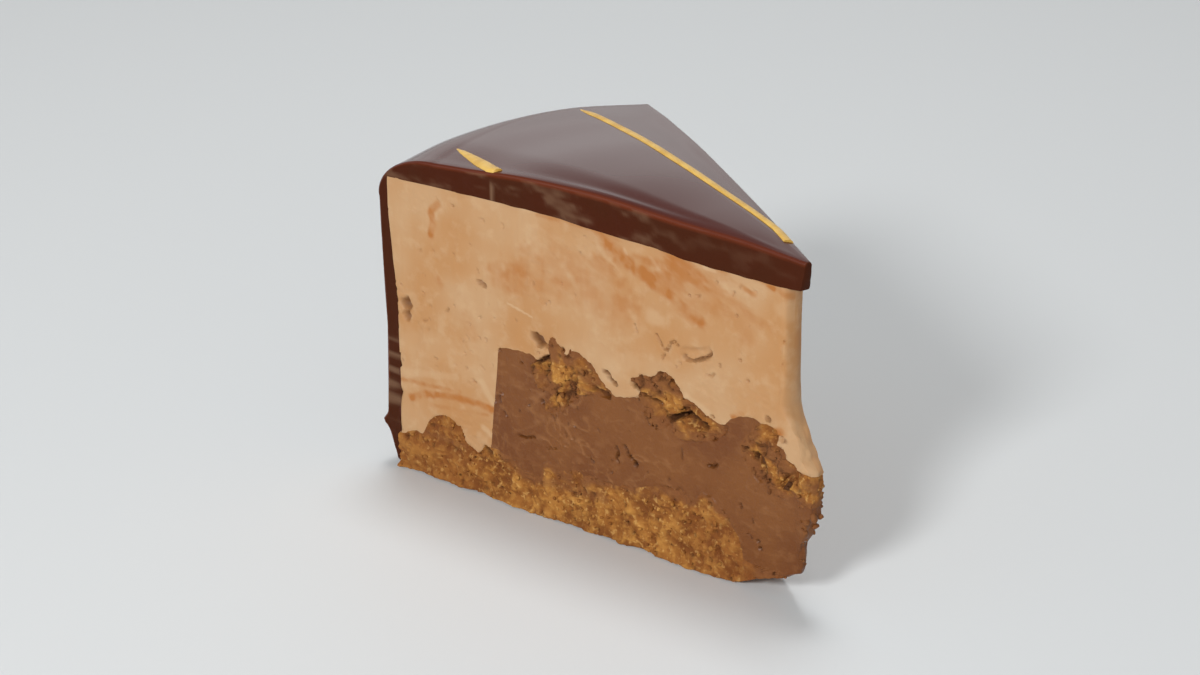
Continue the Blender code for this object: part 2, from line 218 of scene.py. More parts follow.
def easedAlong(line, at):     # the same without corners, so that the gloss shows no bands
    offsets = np.linspace(-6.5, 6.5, 9)
    weights = 1 + np.cos(offsets / 7.5 * math.pi)
    return sum(along(line, at + offset) * weight for offset, weight in zip(offsets, weights)) / weights.sum()


def topHeight(s, v):     # top of the glaze before it rounds off: a low crown that falls to the far cut
    crown = torteForm["crown"] * smooth((s - 4.0) / 20.0) * smooth(v / 0.24) * smooth((1 - v) / 0.3)
    share = v ** 2.5
    return easedAlong(glazeTopLine, s) * (1 - share) + easedAlong(farTopLine, s) * share + crown


def shoulderAt(v):     # centre (s, z) and radii of the rounding between top and side
    turn = smooth(0.06 + v * 1.3)
    wide = shoulder["wide"][0] + (shoulder["wide"][1] - shoulder["wide"][0]) * turn
    high = shoulder["high"][0] + (shoulder["high"][1] - shoulder["high"][0]) * turn
    s = shoulder["outer"] - wide
    return s, topHeight(s, v) - high, wide, high


def glazeTop(s, v):
    middle, low, wide, high = shoulderAt(v)
    turned = low + high * np.sqrt(1 - np.clip((s - middle) / wide, 0, 1) ** 2)
    return np.where(s > middle, turned, topHeight(s, v))


# Meshes
def addObject(name, data):
    piece = bpy.data.objects.new(name, data)
    bpy.context.scene.collection.objects.link(piece)
    return piece


def makeMesh(name, points, faces):     # its faces point out, also where a block is built left-handed
    mesh = bpy.data.meshes.new(name)
    mesh.vertices.add(len(points))
    mesh.vertices.foreach_set("co", np.asarray(points, np.float32).ravel())
    faces = np.asarray(faces, np.int32)
    mesh.loops.add(faces.size)
    mesh.loops.foreach_set("vertex_index", faces.ravel())
    mesh.polygons.add(len(faces))
    mesh.polygons.foreach_set("loop_start", np.arange(0, faces.size, faces.shape[1], dtype=np.int32))
    mesh.update(calc_edges=True)
    mesh.validate()
    shape = bmesh.new()
    shape.from_mesh(mesh)
    if shape.calc_volume(signed=True) < 0:
        bmesh.ops.reverse_faces(shape, faces=shape.faces)
    shape.to_mesh(mesh)
    shape.free()
    return addObject(name, mesh)


def shellOfCells(counts):     # the skin of a block of cells: whole-number places of its points, and its faces
    ni, nj, nk = counts
    places = np.stack(np.meshgrid(np.arange(ni + 1), np.arange(nj + 1), np.arange(nk + 1), indexing="ij"), -1)
    edge = ((places == 0) | (places == np.array(counts))).any(-1)
    number = np.full(edge.shape, -1, np.int64)
    number[edge] = np.arange(edge.sum())
    quads = []

    def skin(grid, flip):
        a, b, c, d = grid[:-1, :-1], grid[1:, :-1], grid[1:, 1:], grid[:-1, 1:]
        order = (a, d, c, b) if flip else (a, b, c, d)
        quads.append(np.stack([part.ravel() for part in order], -1))

    skin(number[:, :, 0], True)
    skin(number[:, :, -1], False)
    skin(number[:, 0, :], False)
    skin(number[:, -1, :], True)
    skin(number[0, :, :], True)
    skin(number[-1, :, :], False)
    return places[edge], np.concatenate(quads)


def madeMesh(piece):     # the plain mesh that a piece's modifiers give
    return bpy.data.meshes.new_from_object(piece.evaluated_get(bpy.context.evaluated_depsgraph_get()))


def carve(piece, operation, other):     # one exact cut, applied
    step = piece.modifiers.new(operation, "BOOLEAN")
    step.operation, step.solver, step.object = operation, "MANIFOLD", other
    shape, old = madeMesh(piece), piece.data
    piece.modifiers.remove(step)
    piece.data = shape
    bpy.data.meshes.remove(old)


def pointsOf(piece):
    points = np.empty(len(piece.data.vertices) * 3, np.float32)
    piece.data.vertices.foreach_get("co", points)
    return points.reshape(-1, 3).astype(np.float64)


def store(piece, name, values):
    attribute = piece.data.attributes.get(name) or piece.data.attributes.new(name, "FLOAT", "POINT")
    attribute.data.foreach_set("value", np.asarray(values, np.float32))


def soften(piece, angle=45):
    piece.data.shade_smooth()
    piece.data.set_sharp_from_angle(angle=math.radians(angle))


# What the cuts show: each mark is a line of (s, z) points, its half width and its depth or strength.
# The near cut has its own marks, and the far one is mostly drawn by a seeded rule.
nearMarks = {
    "holes": [([(85, 33.4)], 1.15, 1.6), ([(84.9, 31.1)], 0.9, 1.3), ([(67.9, 41.9), (66.7, 41.6)], 0.42, 1),
        ([(55.5, 34.5), (54.7, 33.9)], 1, 1.8), ([(53.5, 33.9), (53.2, 33.6)], 0.5, 1.1),
        ([(49.6, 33.7)], 0.42, 1.1), ([(54.9, 31.7)], 0.35, 0.6), ([(63.5, 29.9)], 0.3, 0.8),
        ([(66.6, 31.2)], 0.28, 0.6), ([(71.4, 27.2)], 0.2, 0.5), ([(70, 22.3), (69.1, 22.2)], 0.2, 0.5),
        ([(71, 24.5)], 0.22, 0.4), ([(73.4, 45.8)], 0.2, 0.4), ([(80.4, 40.1)], 0.2, 0.4),
        ([(86, 36.9)], 0.24, 0.4), ([(73.7, 35.9)], 0.2, 0.4), ([(79.5, 31.8)], 0.22, 0.4),
        ([(29.5, 41.9), (28.5, 40.7), (28.1, 39.9), (27.2, 39.7), (26.5, 41.3), (25.7, 41.7), (24.9, 41.3)],
         0.15, 0.7),
        ([(24, 39.6), (23.4, 39.2), (21.7, 39.3), (19.3, 40.5), (18.4, 41.6)], 0.26, 0.9),
        ([(19, 37.5), (18.3, 37.3), (17.6, 38)], 0.16, 0.5), ([(12.6, 43.4)], 0.2, 0.4),
        ([(12.5, 41.9)], 0.26, 0.5), ([(10.9, 38.6)], 0.26, 0.5), ([(13.4, 49.7)], 0.28, 0.6),
        ([(3, 51.8)], 0.26, 0.5), ([(34.1, 42.8), (33.8, 41.9), (33.5, 41.4)], 0.14, 0.45),
        ([(3.3, 47.4)], 0.28, 0.5), ([(3.6, 43.5)], 0.24, 0.4), ([(6.5, 33)], 0.5, 1.3),
        ([(3.2, 30.3)], 0.5, 1.2)],
    "cracks": [([(59.3, 14.5), (57.5, 14.6), (55.7, 15.2)], 0.16, 0.5),
        ([(53.3, 13.5), (51, 14.3)], 0.13, 0.4),
        ([(37.8, 18.4), (37.4, 17.2), (37.9, 16.4), (37.4, 15.6)], 0.17, 0.7),
        ([(36.1, 19.2), (35.5, 18.4), (35.4, 17.7)], 0.22, 0.9),
        ([(34.9, 17.5), (34.4, 17.2), (33.8, 16.9)], 0.24, 1), ([(33.7, 16.3)], 0.42, 1.2),
        ([(43.4, 14.8), (42.7, 14.2)], 0.16, 0.6),
        ([(18.6, 20.5), (18.1, 20.8), (17.6, 20.7), (16.7, 21.5)], 0.17, 0.7),
        ([(24, 22.4), (24, 20.4)], 0.12, 0.4), ([(63.7, 20.8), (63.4, 19.9)], 0.3, 0.5),
        ([(62.4, 18.2), (62, 17.4)], 0.18, 0.5), ([(58.7, 28.8)], 0.25, 0.5), ([(53.9, 22.6)], 0.35, 0.7),
        ([(56.8, 21.1)], 0.25, 0.5), ([(8, 9.6)], 0.35, 0.8), ([(7.5, 8.4)], 0.3, 0.7),
        ([(11.7, 15.6), (11.5, 15)], 0.2, 0.5), ([(9.3, 13.5), (9.1, 12.9)], 0.2, 0.5),
        ([(10, 10.3), (9.4, 9.8)], 0.2, 0.4)],
    "gaps": [([(40.4, 32.3), (39.4, 32), (39.2, 31.2), (37.9, 30.6)], 0.34, 1.7),
        ([(55, 29.9), (53.7, 30.9), (52.3, 31.8)], 0.3, 1.5), ([(47.8, 33.2), (48.6, 32.6)], 0.2, 0.8),
        ([(46.1, 29), (46.8, 27.9), (47.1, 26)], 0.3, 1.1),
        ([(42.7, 28.5), (41.5, 28.2), (39.5, 27.6)], 0.3, 1), ([(54.2, 28.8), (53.4, 28.4)], 0.3, 0.9),
        ([(34.3, 31.6), (32.5, 30.7), (30.5, 30.1), (28.3, 30)], 0.24, 1.3),
        ([(26.5, 27.2), (24.9, 28.1), (22.7, 29.2), (20.7, 28.5), (19.1, 28)], 0.5, 1.9),
        ([(24.2, 29.8), (23.2, 29.9)], 0.25, 1), ([(28.3, 29.3), (27.6, 28.1), (26.7, 27.5)], 0.2, 0.9),
        ([(31.1, 26.2), (30.5, 25.2), (29.4, 24.7)], 0.26, 1),
        ([(28.8, 35.2), (27.7, 34.9), (27.5, 34.3)], 0.24, 0.8), ([(26.1, 34.4), (24.8, 33.4)], 0.22, 0.8),
        ([(17.7, 30.2)], 0.3, 0.9), ([(8.8, 25), (8.4, 26.4), (7.4, 26.2), (6.8, 24.4)], 0.36, 1.6),
        ([(3.2, 22.4), (1.7, 23.7), (1.1, 24.5), (0.2, 24.5)], 0.42, 1.8),
        ([(1.7, 23.7), (1.9, 22.2)], 0.3, 1.2), ([(11.4, 26.5), (10.1, 26.8)], 0.2, 0.9),
        ([(6.6, 22.2), (4.9, 22)], 0.22, 0.9), ([(67.1, 9.4), (65.5, 8.6)], 0.6, 1)],
    "orange": [([(84.6, 14.8), (80.9, 16.6), (74.4, 17.9), (68.6, 18.1), (65.3, 17.9)], 0.75, 0.95),
        ([(87.5, 17.9), (79.8, 18.5), (72.9, 19.2)], 0.45, 0.6),
        ([(79.9, 14.6), (71.6, 15.8), (66.6, 16.4)], 0.4, 0.4), ([(77.8, 40.3), (76.9, 38.9)], 0.9, 0.5),
        ([(51.6, 35), (51.5, 33.6)], 0.6, 0.9),
        ([(76.9, 54.6), (78.7, 53), (78.3, 50.5), (78.9, 48.5)], 0.8, 1),
        ([(40.6, 56.2), (37.8, 54.8), (35, 53.5), (32.2, 52.5), (29.8, 51.3), (26, 49.8)], 1.5, 1),
        ([(26.3, 49.6), (23.5, 47.9), (21, 46.8)], 1.5, 0.8), ([(24.8, 51.7), (19.2, 50.3)], 3, 0.4),
        ([(13.1, 49.7), (11.5, 46.1)], 2, 0.22), ([(17.8, 57), (16, 56.6)], 0.6, 0.85),
        ([(12.8, 55), (10, 54.3)], 0.6, 0.6), ([(7.6, 56.6), (6.5, 56.3)], 0.5, 1.1),
        ([(34.3, 54.7), (26.8, 55.1), (22.1, 55)], 1, 0.55),
        ([(54.8, 57.7), (46.9, 58), (39.9, 57.9)], 0.5, 0.55), ([(63.2, 44.2), (57.4, 45.1)], 3.2, 0.6),
        ([(55.3, 47), (45.7, 48.2), (38, 46)], 5, 0.45), ([(39.2, 55), (37.3, 53.8)], 1.6, 0.7),
        ([(71.1, 34.6), (69.7, 31.7)], 1.6, 0.25), ([(13.9, 31.2), (11.8, 32.4)], 0.5, 0.8),
        ([(10.7, 26.5), (7.5, 29.9), (3.9, 31.7)], 0.85, 1), ([(8.9, 48.7), (8.6, 50.1)], 0.5, 0.4)],
    "pale": [([(61.8, 39.5), (59.2, 38.9), (56.3, 38.2)], 0.2, 0.9), ([(28.1, 54.7), (27.8, 52.7)], 0.5, 0.9),
        ([(25.8, 56.5), (23.4, 55.2)], 0.5, 0.8), ([(20.7, 55.1), (20.2, 53.7)], 0.6, 0.9),
        ([(20.1, 56.7), (18.1, 56.5)], 0.5, 0.9), ([(30.9, 55.5), (29.2, 54.3)], 0.45, 0.8),
        ([(36.4, 55.8), (35.9, 55.1)], 0.4, 0.8), ([(16.8, 55.2), (15.4, 53.2)], 0.7, 0.5),
        ([(84.2, 26), (76.2, 26.9), (71.3, 24.7)], 3.2, 0.3), ([(67.8, 22.6), (65.3, 19.1)], 0.8, 0.6),
        ([(39.6, 32.8), (34.8, 35.6)], 2, 0.35), ([(30.7, 45.1), (29.1, 44.7)], 1.6, 0.55),
        ([(23.2, 32.2), (18.8, 30.6)], 0.9, 0.6), ([(4.8, 53), (3.3, 52.3)], 1.6, 0.4),
        ([(67.5, 13.8), (65.2, 12.4)], 0.7, 0.6), ([(44.4, 46.7), (44.1, 41.9)], 1, 0.35),
        ([(85.9, 19.7), (73.5, 21.9)], 0.8, 0.4)],
    "dimples": [([(23.4, 40.2), (21.2, 40.8), (19, 41.3)], 1, 0.5), ([(77, 24.9)], 5, -0.25)],
    "chocolate": [([(7.2, 28.2), (4.6, 26.6), (2.4, 25.2)], 1.5, 1), ([(54.5, 26.6), (52.4, 27.4)], 1.1, 0.8),
        ([(45.2, 30.4), (42.4, 29.6)], 1.3, 0.8), ([(30.4, 30.8), (28.2, 29.2)], 0.8, 0.7),
        ([(84.6, 8.6), (72.2, 8.4)], 0.7, 0.5), ([(58.6, 6.4), (49.6, 7.4), (40.4, 7.6)], 1, 0.6)],
}


def scatterMarks(seed, count, size, depth, zone):     # zone: lowest and highest s, lowest and highest z
    rng = np.random.default_rng(seed)
    marks = []
    for _ in range(count):
        s, z = rng.uniform(*zone[:2]), rng.uniform(*zone[2:])
        turn, length = rng.uniform(0, math.pi), rng.uniform(0.0, 0.9)
        marks.append(([(s, z), (s + length * math.cos(turn), z + length * math.sin(turn))],
                      size * rng.uniform(0.6, 1.5), depth * rng.uniform(0.6, 1.4)))
    return marks


nearMarks["holes"] += scatterMarks(11, 34, 0.13, 0.35, (62, 86, 19, 38))
nearMarks["holes"] += scatterMarks(12, 34, 0.13, 0.35, (8, 86, 34, 56))
nearMarks["cracks"] += scatterMarks(13, 26, 0.10, 0.35, (4, 62, 13, 27))

farMarks = {
    "holes": scatterMarks(5, 50, 0.2, 0.6, (8, 86, 34, 56)) + [([(52, 36), (50.6, 35.2)], 0.8, 1.4),
        ([(30, 33.6), (28.8, 34.4)], 0.6, 1.2)],
    "cracks": scatterMarks(6, 30, 0.16, 0.6, (4, 62, 13, 27)),
    "gaps": [([(60, 29.4), (56.5, 30.6), (54, 30)], 0.4, 1.4), ([(40, 27), (36, 28.4), (32, 28)], 0.5, 1.6)],
    "orange": [([(70, 54), (66, 50), (66.5, 44)], 1, 0.8), ([(50, 56.6), (40, 54), (30, 52)], 1.4, 0.6),
        ([(84, 20), (74, 18), (69, 17.4)], 0.9, 0.7), ([(26, 50), (16, 46)], 2.6, 0.4),
        ([(60, 40), (48, 42)], 3.6, 0.3)],
    "pale": [([(80, 30), (70, 26)], 3, 0.3), ([(40, 38), (24, 36)], 3, 0.3), ([(60, 47), (56, 43)], 0.4, 0.7)],
    "dimples": [([(34, 41), (31, 42)], 1.2, 0.45)],
    "chocolate": [([(57, 29.5), (54, 30.5)], 1.2, 0.8), ([(38, 29), (34, 27.6)], 1.4, 0.9)],
}

# Biscuit chunks on the cuts: outlines (s, z), how deep they run, and the cut they show on
chunkShapes = {
    "biscuit_chunk_1": {"cut": 0, "deep": 7, "middle": (48, 28.8), "outline": [(56.5, 27.6), (56.6, 29),
        (54.9, 30.1), (52.6, 31.7), (52.3, 34.9), (51.4, 35.6), (50.2, 34), (48.6, 32.8), (47.3, 34.1),
        (44.4, 33.7), (42.5, 32), (41.2, 30.3), (38.8, 28.7), (39.2, 27.3), (41.2, 27.3), (43.3, 27.3),
        (45.8, 26.3), (47.1, 24.7), (48.4, 23.6), (49.5, 21.9), (52.3, 20.9), (53.6, 21.5), (52.8, 23.1),
        (51.7, 24.6), (53.4, 24.8), (55.6, 25.7)]},
    "biscuit_chunk_2": {"cut": 0, "deep": 6, "middle": (26.2, 28.8), "outline": [(34.6, 32.3), (32.5, 33.5),
        (29.9, 34), (28.9, 35.4), (26.8, 35.5), (25.2, 34.2), (24.6, 33.3), (23.2, 32), (20.7, 30.9),
        (18.8, 29.9), (17.4, 29.3), (14.7, 29.2), (14.7, 28.1), (16.2, 26.4), (20.6, 24.9), (24.4, 24.5),
        (26, 25.7), (27.1, 25.9), (28.2, 24.7), (29.5, 24.5), (31.2, 25.5), (31.5, 27.8), (33.4, 29.3),
        (32.7, 30.7), (34.3, 31.6)]},
    "biscuit_chunk_3": {"cut": 0.5, "deep": 6, "middle": (4.6, 25.2), "outline": [(11.4, 26.6), (9.3, 29.4),
        (8.1, 31.6), (5.5, 32), (3.7, 31.6), (3.9, 29.2), (1.9, 27.2), (-0.4, 26), (-3, 25.6), (-6, 26.4),
        (-6.2, 20.2), (-3.4, 20), (-0.1, 21.4), (2.7, 19.8), (5.5, 20.6), (8.1, 21.6), (10.1, 23.8)]},
    "biscuit_chunk_4": {"cut": 1, "deep": 6, "middle": (56.4, 30.2), "outline": [(62.8, 30), (60.6, 32.4),
        (57.6, 34.4), (54.4, 33.6), (51.8, 32.4), (50, 29.6), (52.4, 27.2), (56, 26.6), (59.4, 26),
        (61.6, 27.8)]},
    "biscuit_chunk_5": {"cut": 1, "deep": 6.5, "middle": (35, 28), "outline": [(45, 28.4), (42, 31.6),
        (38.4, 33.2), (34.6, 33.4), (31.4, 31.2), (27.6, 30.6), (25.2, 27.6), (28.4, 24.6), (32, 23.6),
        (35, 25.2), (38.4, 23), (42.6, 24.8)]},
}


def chunkReach(shape, turn):     # from a chunk's middle to its outline in one direction
    ms, mz = shape["middle"]
    points = np.array(shape["outline"] + shape["outline"][:1]) - (ms, mz)
    corners = np.unwrap(np.arctan2(points[:, 1], points[:, 0]))
    if corners[-1] < corners[0]:
        points, corners = points[::-1], corners[::-1]
    reach = np.hypot(points[:, 0], points[:, 1])
    turn = corners[0] + np.mod(turn - corners[0], 2 * math.pi)
    return np.interp(turn, corners, reach)


def chunkRagged(s, z, depth):
    return softNoise(s, z, depth, 1.4, 61) * 0.35 + softNoise(s, z, depth, 0.6, 62) * 0.2


def chunkInside(shape, s, z, seed):     # above 0 inside the ragged outline, in millimetres
    ms, mz = shape["middle"]
    reach = chunkReach(shape, np.arctan2(z - mz, s - ms))
    return reach + chunkRagged(s, z, seed * 9.0) - np.hypot(s - ms, z - mz)


def markDepth(s, z, side, kind):
    total = np.zeros(np.shape(s))
    for points, width, depth in (farMarks if side else nearMarks)[kind]:
        wavy = width * (1 + 0.35 * softNoise(s, z, 3.0, 0.9, 71))
        total = np.maximum(total, depth * smooth(1.35 - strokeGap(s, z, points) / wavy))
    return total


def within(gap):     # 0 to 1 across a border 0.3 mm wide
    return smooth(gap / 0.3 + 0.5)


def layerShares(s, z, side):     # how much of each layer a place on a cut shows
    inBase = within(baseTop(s, side) - z)
    inFilling = within(fillingTop(s, side) - z) * within(fillingWall(side, z) - s) * (1 - inBase)
    inChunk = np.zeros(np.shape(s))
    for number, shape in enumerate(chunkShapes.values()):
        if shape["cut"] in (side, 0.5):
            inChunk = np.maximum(inChunk, within(chunkInside(shape, s, z, number)))
    return inBase * (1 - inChunk), inFilling * (1 - inChunk), inChunk


cutRelief = {     # in millimetres
    "mousseWave": 0.20, "mousseRipple": 0.10, "mousseDrag": 0.09, "mousseTear": 0.09,
    "fillingWave": 0.22, "fillingSwirl": 0.20,
    "baseCrumb": 0.50, "baseGrain": 0.28, "basePit": 0.55, "baseWave": 0.25, "foot": 0.8,
    "chunkCrag": 0.8, "chunkGrain": 0.42, "chunkGap": 0.6,
}


def bakedRelief(s, z, side, size, seed):     # compact crumb: broad lumps, small grains, and a few open pits
    shift = side * 57.0
    warp = 0.5 * softNoise(s, z, shift, size, seed + 5)
    fold = np.abs(softNoise(s * 0.7 + warp, z * 1.4 - warp, shift, size * 0.6, seed + 6))
    flakes = np.clip(1 - fold / 0.3, 0, 1)
    lumps = layeredNoise(s, z, shift, size, seed, 4) + 0.55 * flakes - 0.25
    away, tone = grains(s + 0.4 * softNoise(s, z, side, 1.0, seed), z, size * 0.42, seed + side)
    grain = (1 - np.minimum(1, away) ** 2) * tone
    away, chance = grains(s, z, size * 0.8, seed + 4 + side)
    pit = smooth(1.5 - away / 0.17) * (chance > 0.82)
    return lumps, grain, pit


def chunkGaps(s, z, side):     # crevices that run between the flakes of a chunk
    warp = 0.9 * softNoise(s, z, side * 9.0, 1.6, 53)
    line = np.abs(softNoise(s + warp, z * 1.25 - warp, side * 9.0, 2.6, 54))
    return smooth(1.3 - line / 0.10) * smooth(softNoise(s, z, side * 9.0, 3.6, 55) * 1.8 + 0.35)


def chocolateSmear(s, z, side, distance):     # chocolate dragged over the crumb, thicker towards a boundary
    patches = layeredNoise(s * 0.8, z * 1.2, side * 9.0 + 3.0, 2.6, 56, 4)
    return smooth(1.2 - distance / 1.9 + 1.7 * patches) * smooth(1.3 - distance / 4.5)


def fillingLines(s, z, side):     # fine curved ridges that the knife drew in the chocolate
    shift = side * 57.0
    warp = 2.2 * softNoise(s, z, shift, 6.0, 6)
    line = 1 - np.abs(softNoise(s * 0.75 + warp, z * 1.3 - warp, shift, 2.0, 7)) / 0.16
    calm = smooth((s - 20.0) / 14.0) * (1 - 0.6 * hump(s, 60.0, 4.0)) if not side else 0.8
    return np.clip(line, 0, 1) * calm * smooth(softNoise(s, z, shift, 8.0, 9) * 1.5 + 0.7)


def faceRelief(s, z, side):
    inBase, inFilling, inChunk = layerShares(s, z, side)
    inMousse = 1 - inBase - inFilling - inChunk
    k = cutRelief
    shift = side * 57.0
    mousse = k["mousseWave"] * softNoise(s, z, shift, 15.0, 1) + k["mousseRipple"] * softNoise(s, z, shift, 5.0, 2)
    mousse = mousse + k["mousseDrag"] * softNoise(s + z * 0.22, z / 7.0, shift, 1.3, 3)
    torn = smooth(softNoise(s, z, shift, 9.0, 4) * 1.5)
    mousse = mousse + k["mousseTear"] * torn * softNoise(s, z * 1.5, shift, 0.9, 5)
    mousse = mousse - markDepth(s, z, side, "dimples")
    filling = k["fillingWave"] * softNoise(s, z, shift, 9.0, 8) + k["fillingSwirl"] * fillingLines(s, z, side)
    lumps, grain, pit = bakedRelief(s, z, side, 2.3, 20)
    base = k["baseCrumb"] * lumps + k["baseGrain"] * (grain - 0.3) - k["basePit"] * pit
    base = base + k["baseWave"] * softNoise(s, z, shift, 5.0, 10)
    foot = k["foot"] * hump(z, 0.0, 1.3) * smooth((s - 9) / 6)
    base = base + foot * smooth(0.7 + softNoise(s, 0.0, shift, 4.0, 14))
    lumps, grain, pit = bakedRelief(s, z, side, 2.8, 50)
    chunk = k["chunkCrag"] * lumps + k["chunkGrain"] * (grain - 0.3)
    chunk = chunk - k["chunkGap"] * np.maximum(chunkGaps(s, z, side), 0.6 * pit)
    total = inMousse * mousse + inFilling * filling + inBase * base + inChunk * chunk
    for kind in ("holes", "cracks", "gaps"):
        total = total - markDepth(s, z, side, kind)
    return total


insideForm = {"columns": 300, "lanes": 14, "rows": 196, "tipSpikes": 0.45, "footRagged": 0.5}


def makeInside():     # everything under the glaze as one dense wedge, before it is parted into layers
    k = insideForm
    columns, lanes, rows = k["columns"], k["lanes"], k["rows"]
    places, quads = shellOfCells((columns, lanes, rows))
    cell, v, w = places[:, 0], places[:, 1] / lanes, places[:, 2] / rows
    share = cell / columns
    z = w * 57.0
    for _ in range(3):
        front = along(tipLine, z)
        s = front + (along(skirtInnerLine, z) - front) * share
        low = along(floorLine, s)
        z = low + (along(mousseTopLine, s) - low) * w
    relief = np.zeros(len(s))
    for side in (0, 1):
        cut = v == side
        edge = np.minimum(1, np.minimum(0.7 + w[cut] * rows / 5, (1 - w[cut]) * rows / 6))
        relief[cut] = faceRelief(s[cut], z[cut], side) * (0.15 + 0.85 * edge)
    relief = np.maximum(relief, -0.45 * halfWidth(s, z))
    curve = 1 - np.sqrt(1 - (0.98 * (2 * v - 1)) ** 2)
    s = s + curve * (0.55 + 0.45 * smooth((z - 30) / 5)) * np.clip(1 - cell / 6, 0, 1)
    spikes = k["tipSpikes"] * layeredNoise(z, v * 4, 0.0, 2.0, 12, 3) * smooth((36 - z) / 3.0)
    s = s + spikes * np.clip(1 - cell / 4, 0, 1)
    ragged = np.abs(softNoise(s, v * 60, 0.0, 2.0, 13)) * k["footRagged"]
    z = z + ragged * smooth(1 - np.minimum(v, 1 - v) * 20) * (places[:, 2] == 0)
    return makeMesh("inside", placePoints(s, v, z, relief), quads)


def layerVolume(stops, top, footOut=0.0):     # what lies under a ragged layer top, wide enough to pass both cuts
    lanes = np.array([-0.5, 0.0, 0.04, 0.1, 0.2, 0.35, 0.5, 0.65, 0.8, 0.9, 0.96, 1.0, 1.5])
    places, quads = shellOfCells((len(stops) - 1, len(lanes) - 1, 1))
    s, lane = stops[places[:, 0]], lanes[places[:, 1]]
    v = np.clip(lane, 0, 1)
    height = np.where(places[:, 2] == 1, top(s, v), -6.0)
    s = s + footOut * (places[:, 0] == len(stops) - 1) * (places[:, 2] == 0)
    return makeMesh("volume", placePoints(s, v, height, np.where(v == lane, 0.0, 4.0)), quads)


def chunkVolume(shape, seed):     # the ragged outline, run through the cut and rounded off inside
    turns, rings = 120, 9
    (ms, mz), side, deep = shape["middle"], shape["cut"], shape["deep"]
    through = side == 0.5
    depth = np.linspace(-6, 6, rings + 1) if through else np.append(-2.5, np.linspace(0, deep, rings))
    depth, turn = np.meshgrid(depth, np.arange(turns) / turns * 2 * math.pi, indexing="ij")
    reach = chunkReach(shape, turn)
    if not through:
        reach = reach * np.sqrt(np.maximum(0.04, 1 - (np.maximum(depth, 0) / (deep * 1.05)) ** 2))
    s, z = ms + reach * np.cos(turn), mz + reach * np.sin(turn)
    ragged = chunkRagged(s, z, depth + seed * 9.0)
    s, z = s + ragged * np.cos(turn), z + ragged * np.sin(turn)
    if through:
        points = np.stack([tipX - s, depth, z], -1)
    else:
        swing = (2 * side - 1) * torteForm["angle"] / 2
        inward = np.array([-math.sin(abs(swing)), -math.copysign(math.cos(swing), swing), 0.0])
        points = placePoints(s, float(side), z) * 1000 + inward * depth[..., None]
        points[..., 2] = z
    points = points.reshape(-1, 3)
    last, final = rings * turns, len(points)
    a, b = np.arange(turns), (np.arange(turns) + 1) % turns
    faces = []
    for ring in range(0, last, turns):
        faces += [(ring + a, ring + b, ring + b + turns), (ring + a, ring + b + turns, ring + a + turns)]
    faces += [(b, a, a * 0 + final), (last + a, last + b, a * 0 + final + 1)]
    points = np.concatenate([points, [points[:turns].mean(0), points[last:].mean(0)]])
    return makeMesh("volume", points * 0.001, np.concatenate([np.stack(face, -1) for face in faces]))


def keepBig(piece, smallest=40):     # drops loose scraps that the cuts leave
    mesh = bmesh.new()
    mesh.from_mesh(piece.data)
    bmesh.ops.dissolve_degenerate(mesh, dist=1e-7, edges=mesh.edges)
    mesh.verts.ensure_lookup_table()
    seen, scraps = set(), []
    for start in mesh.verts:
        if start.index in seen:
            continue
        island, queue = [], [start]
        seen.add(start.index)
        while queue:
            vert = queue.pop()
            island.append(vert)
            for link in vert.link_edges:
                other = link.other_vert(vert)
                if other.index not in seen:
                    seen.add(other.index)
                    queue.append(other)
        if len(island) < smallest:
            scraps += island
    bmesh.ops.delete(mesh, geom=scraps, context="VERTS")
    mesh.to_mesh(piece.data)
    mesh.free()


def partOff(rest, name, volume):     # what lies in the volume becomes a piece of its own
    piece = addObject(name, rest.data.copy())
    carve(piece, "INTERSECT", volume)
    carve(rest, "DIFFERENCE", volume)
    bpy.data.objects.remove(volume)
    keepBig(piece)
    return piece


def partLayers():
    rest = makeInside()
    print("inside:", len(rest.data.polygons), "faces")
    layers = {name: partOff(rest, name + "Crumb", chunkVolume(shape, number))
              for number, (name, shape) in enumerate(chunkShapes.items())}
    layers["biscuit_base"] = partOff(rest, "biscuitBase", layerVolume(np.arange(-8.0, 92.0, 0.3), baseTop))
    filling = layerVolume(np.append(np.arange(-8.0, 63.5, 0.3), 63.8), fillingTop, 3.2)
    layers["chocolate_filling"] = partOff(rest, "chocolateFilling", filling)
    keepBig(rest)
    rest.name = "caramelMousse"
    layers["mousse"] = rest
    print("layers:", {name: len(piece.data.polygons) for name, piece in layers.items()})
    return layers


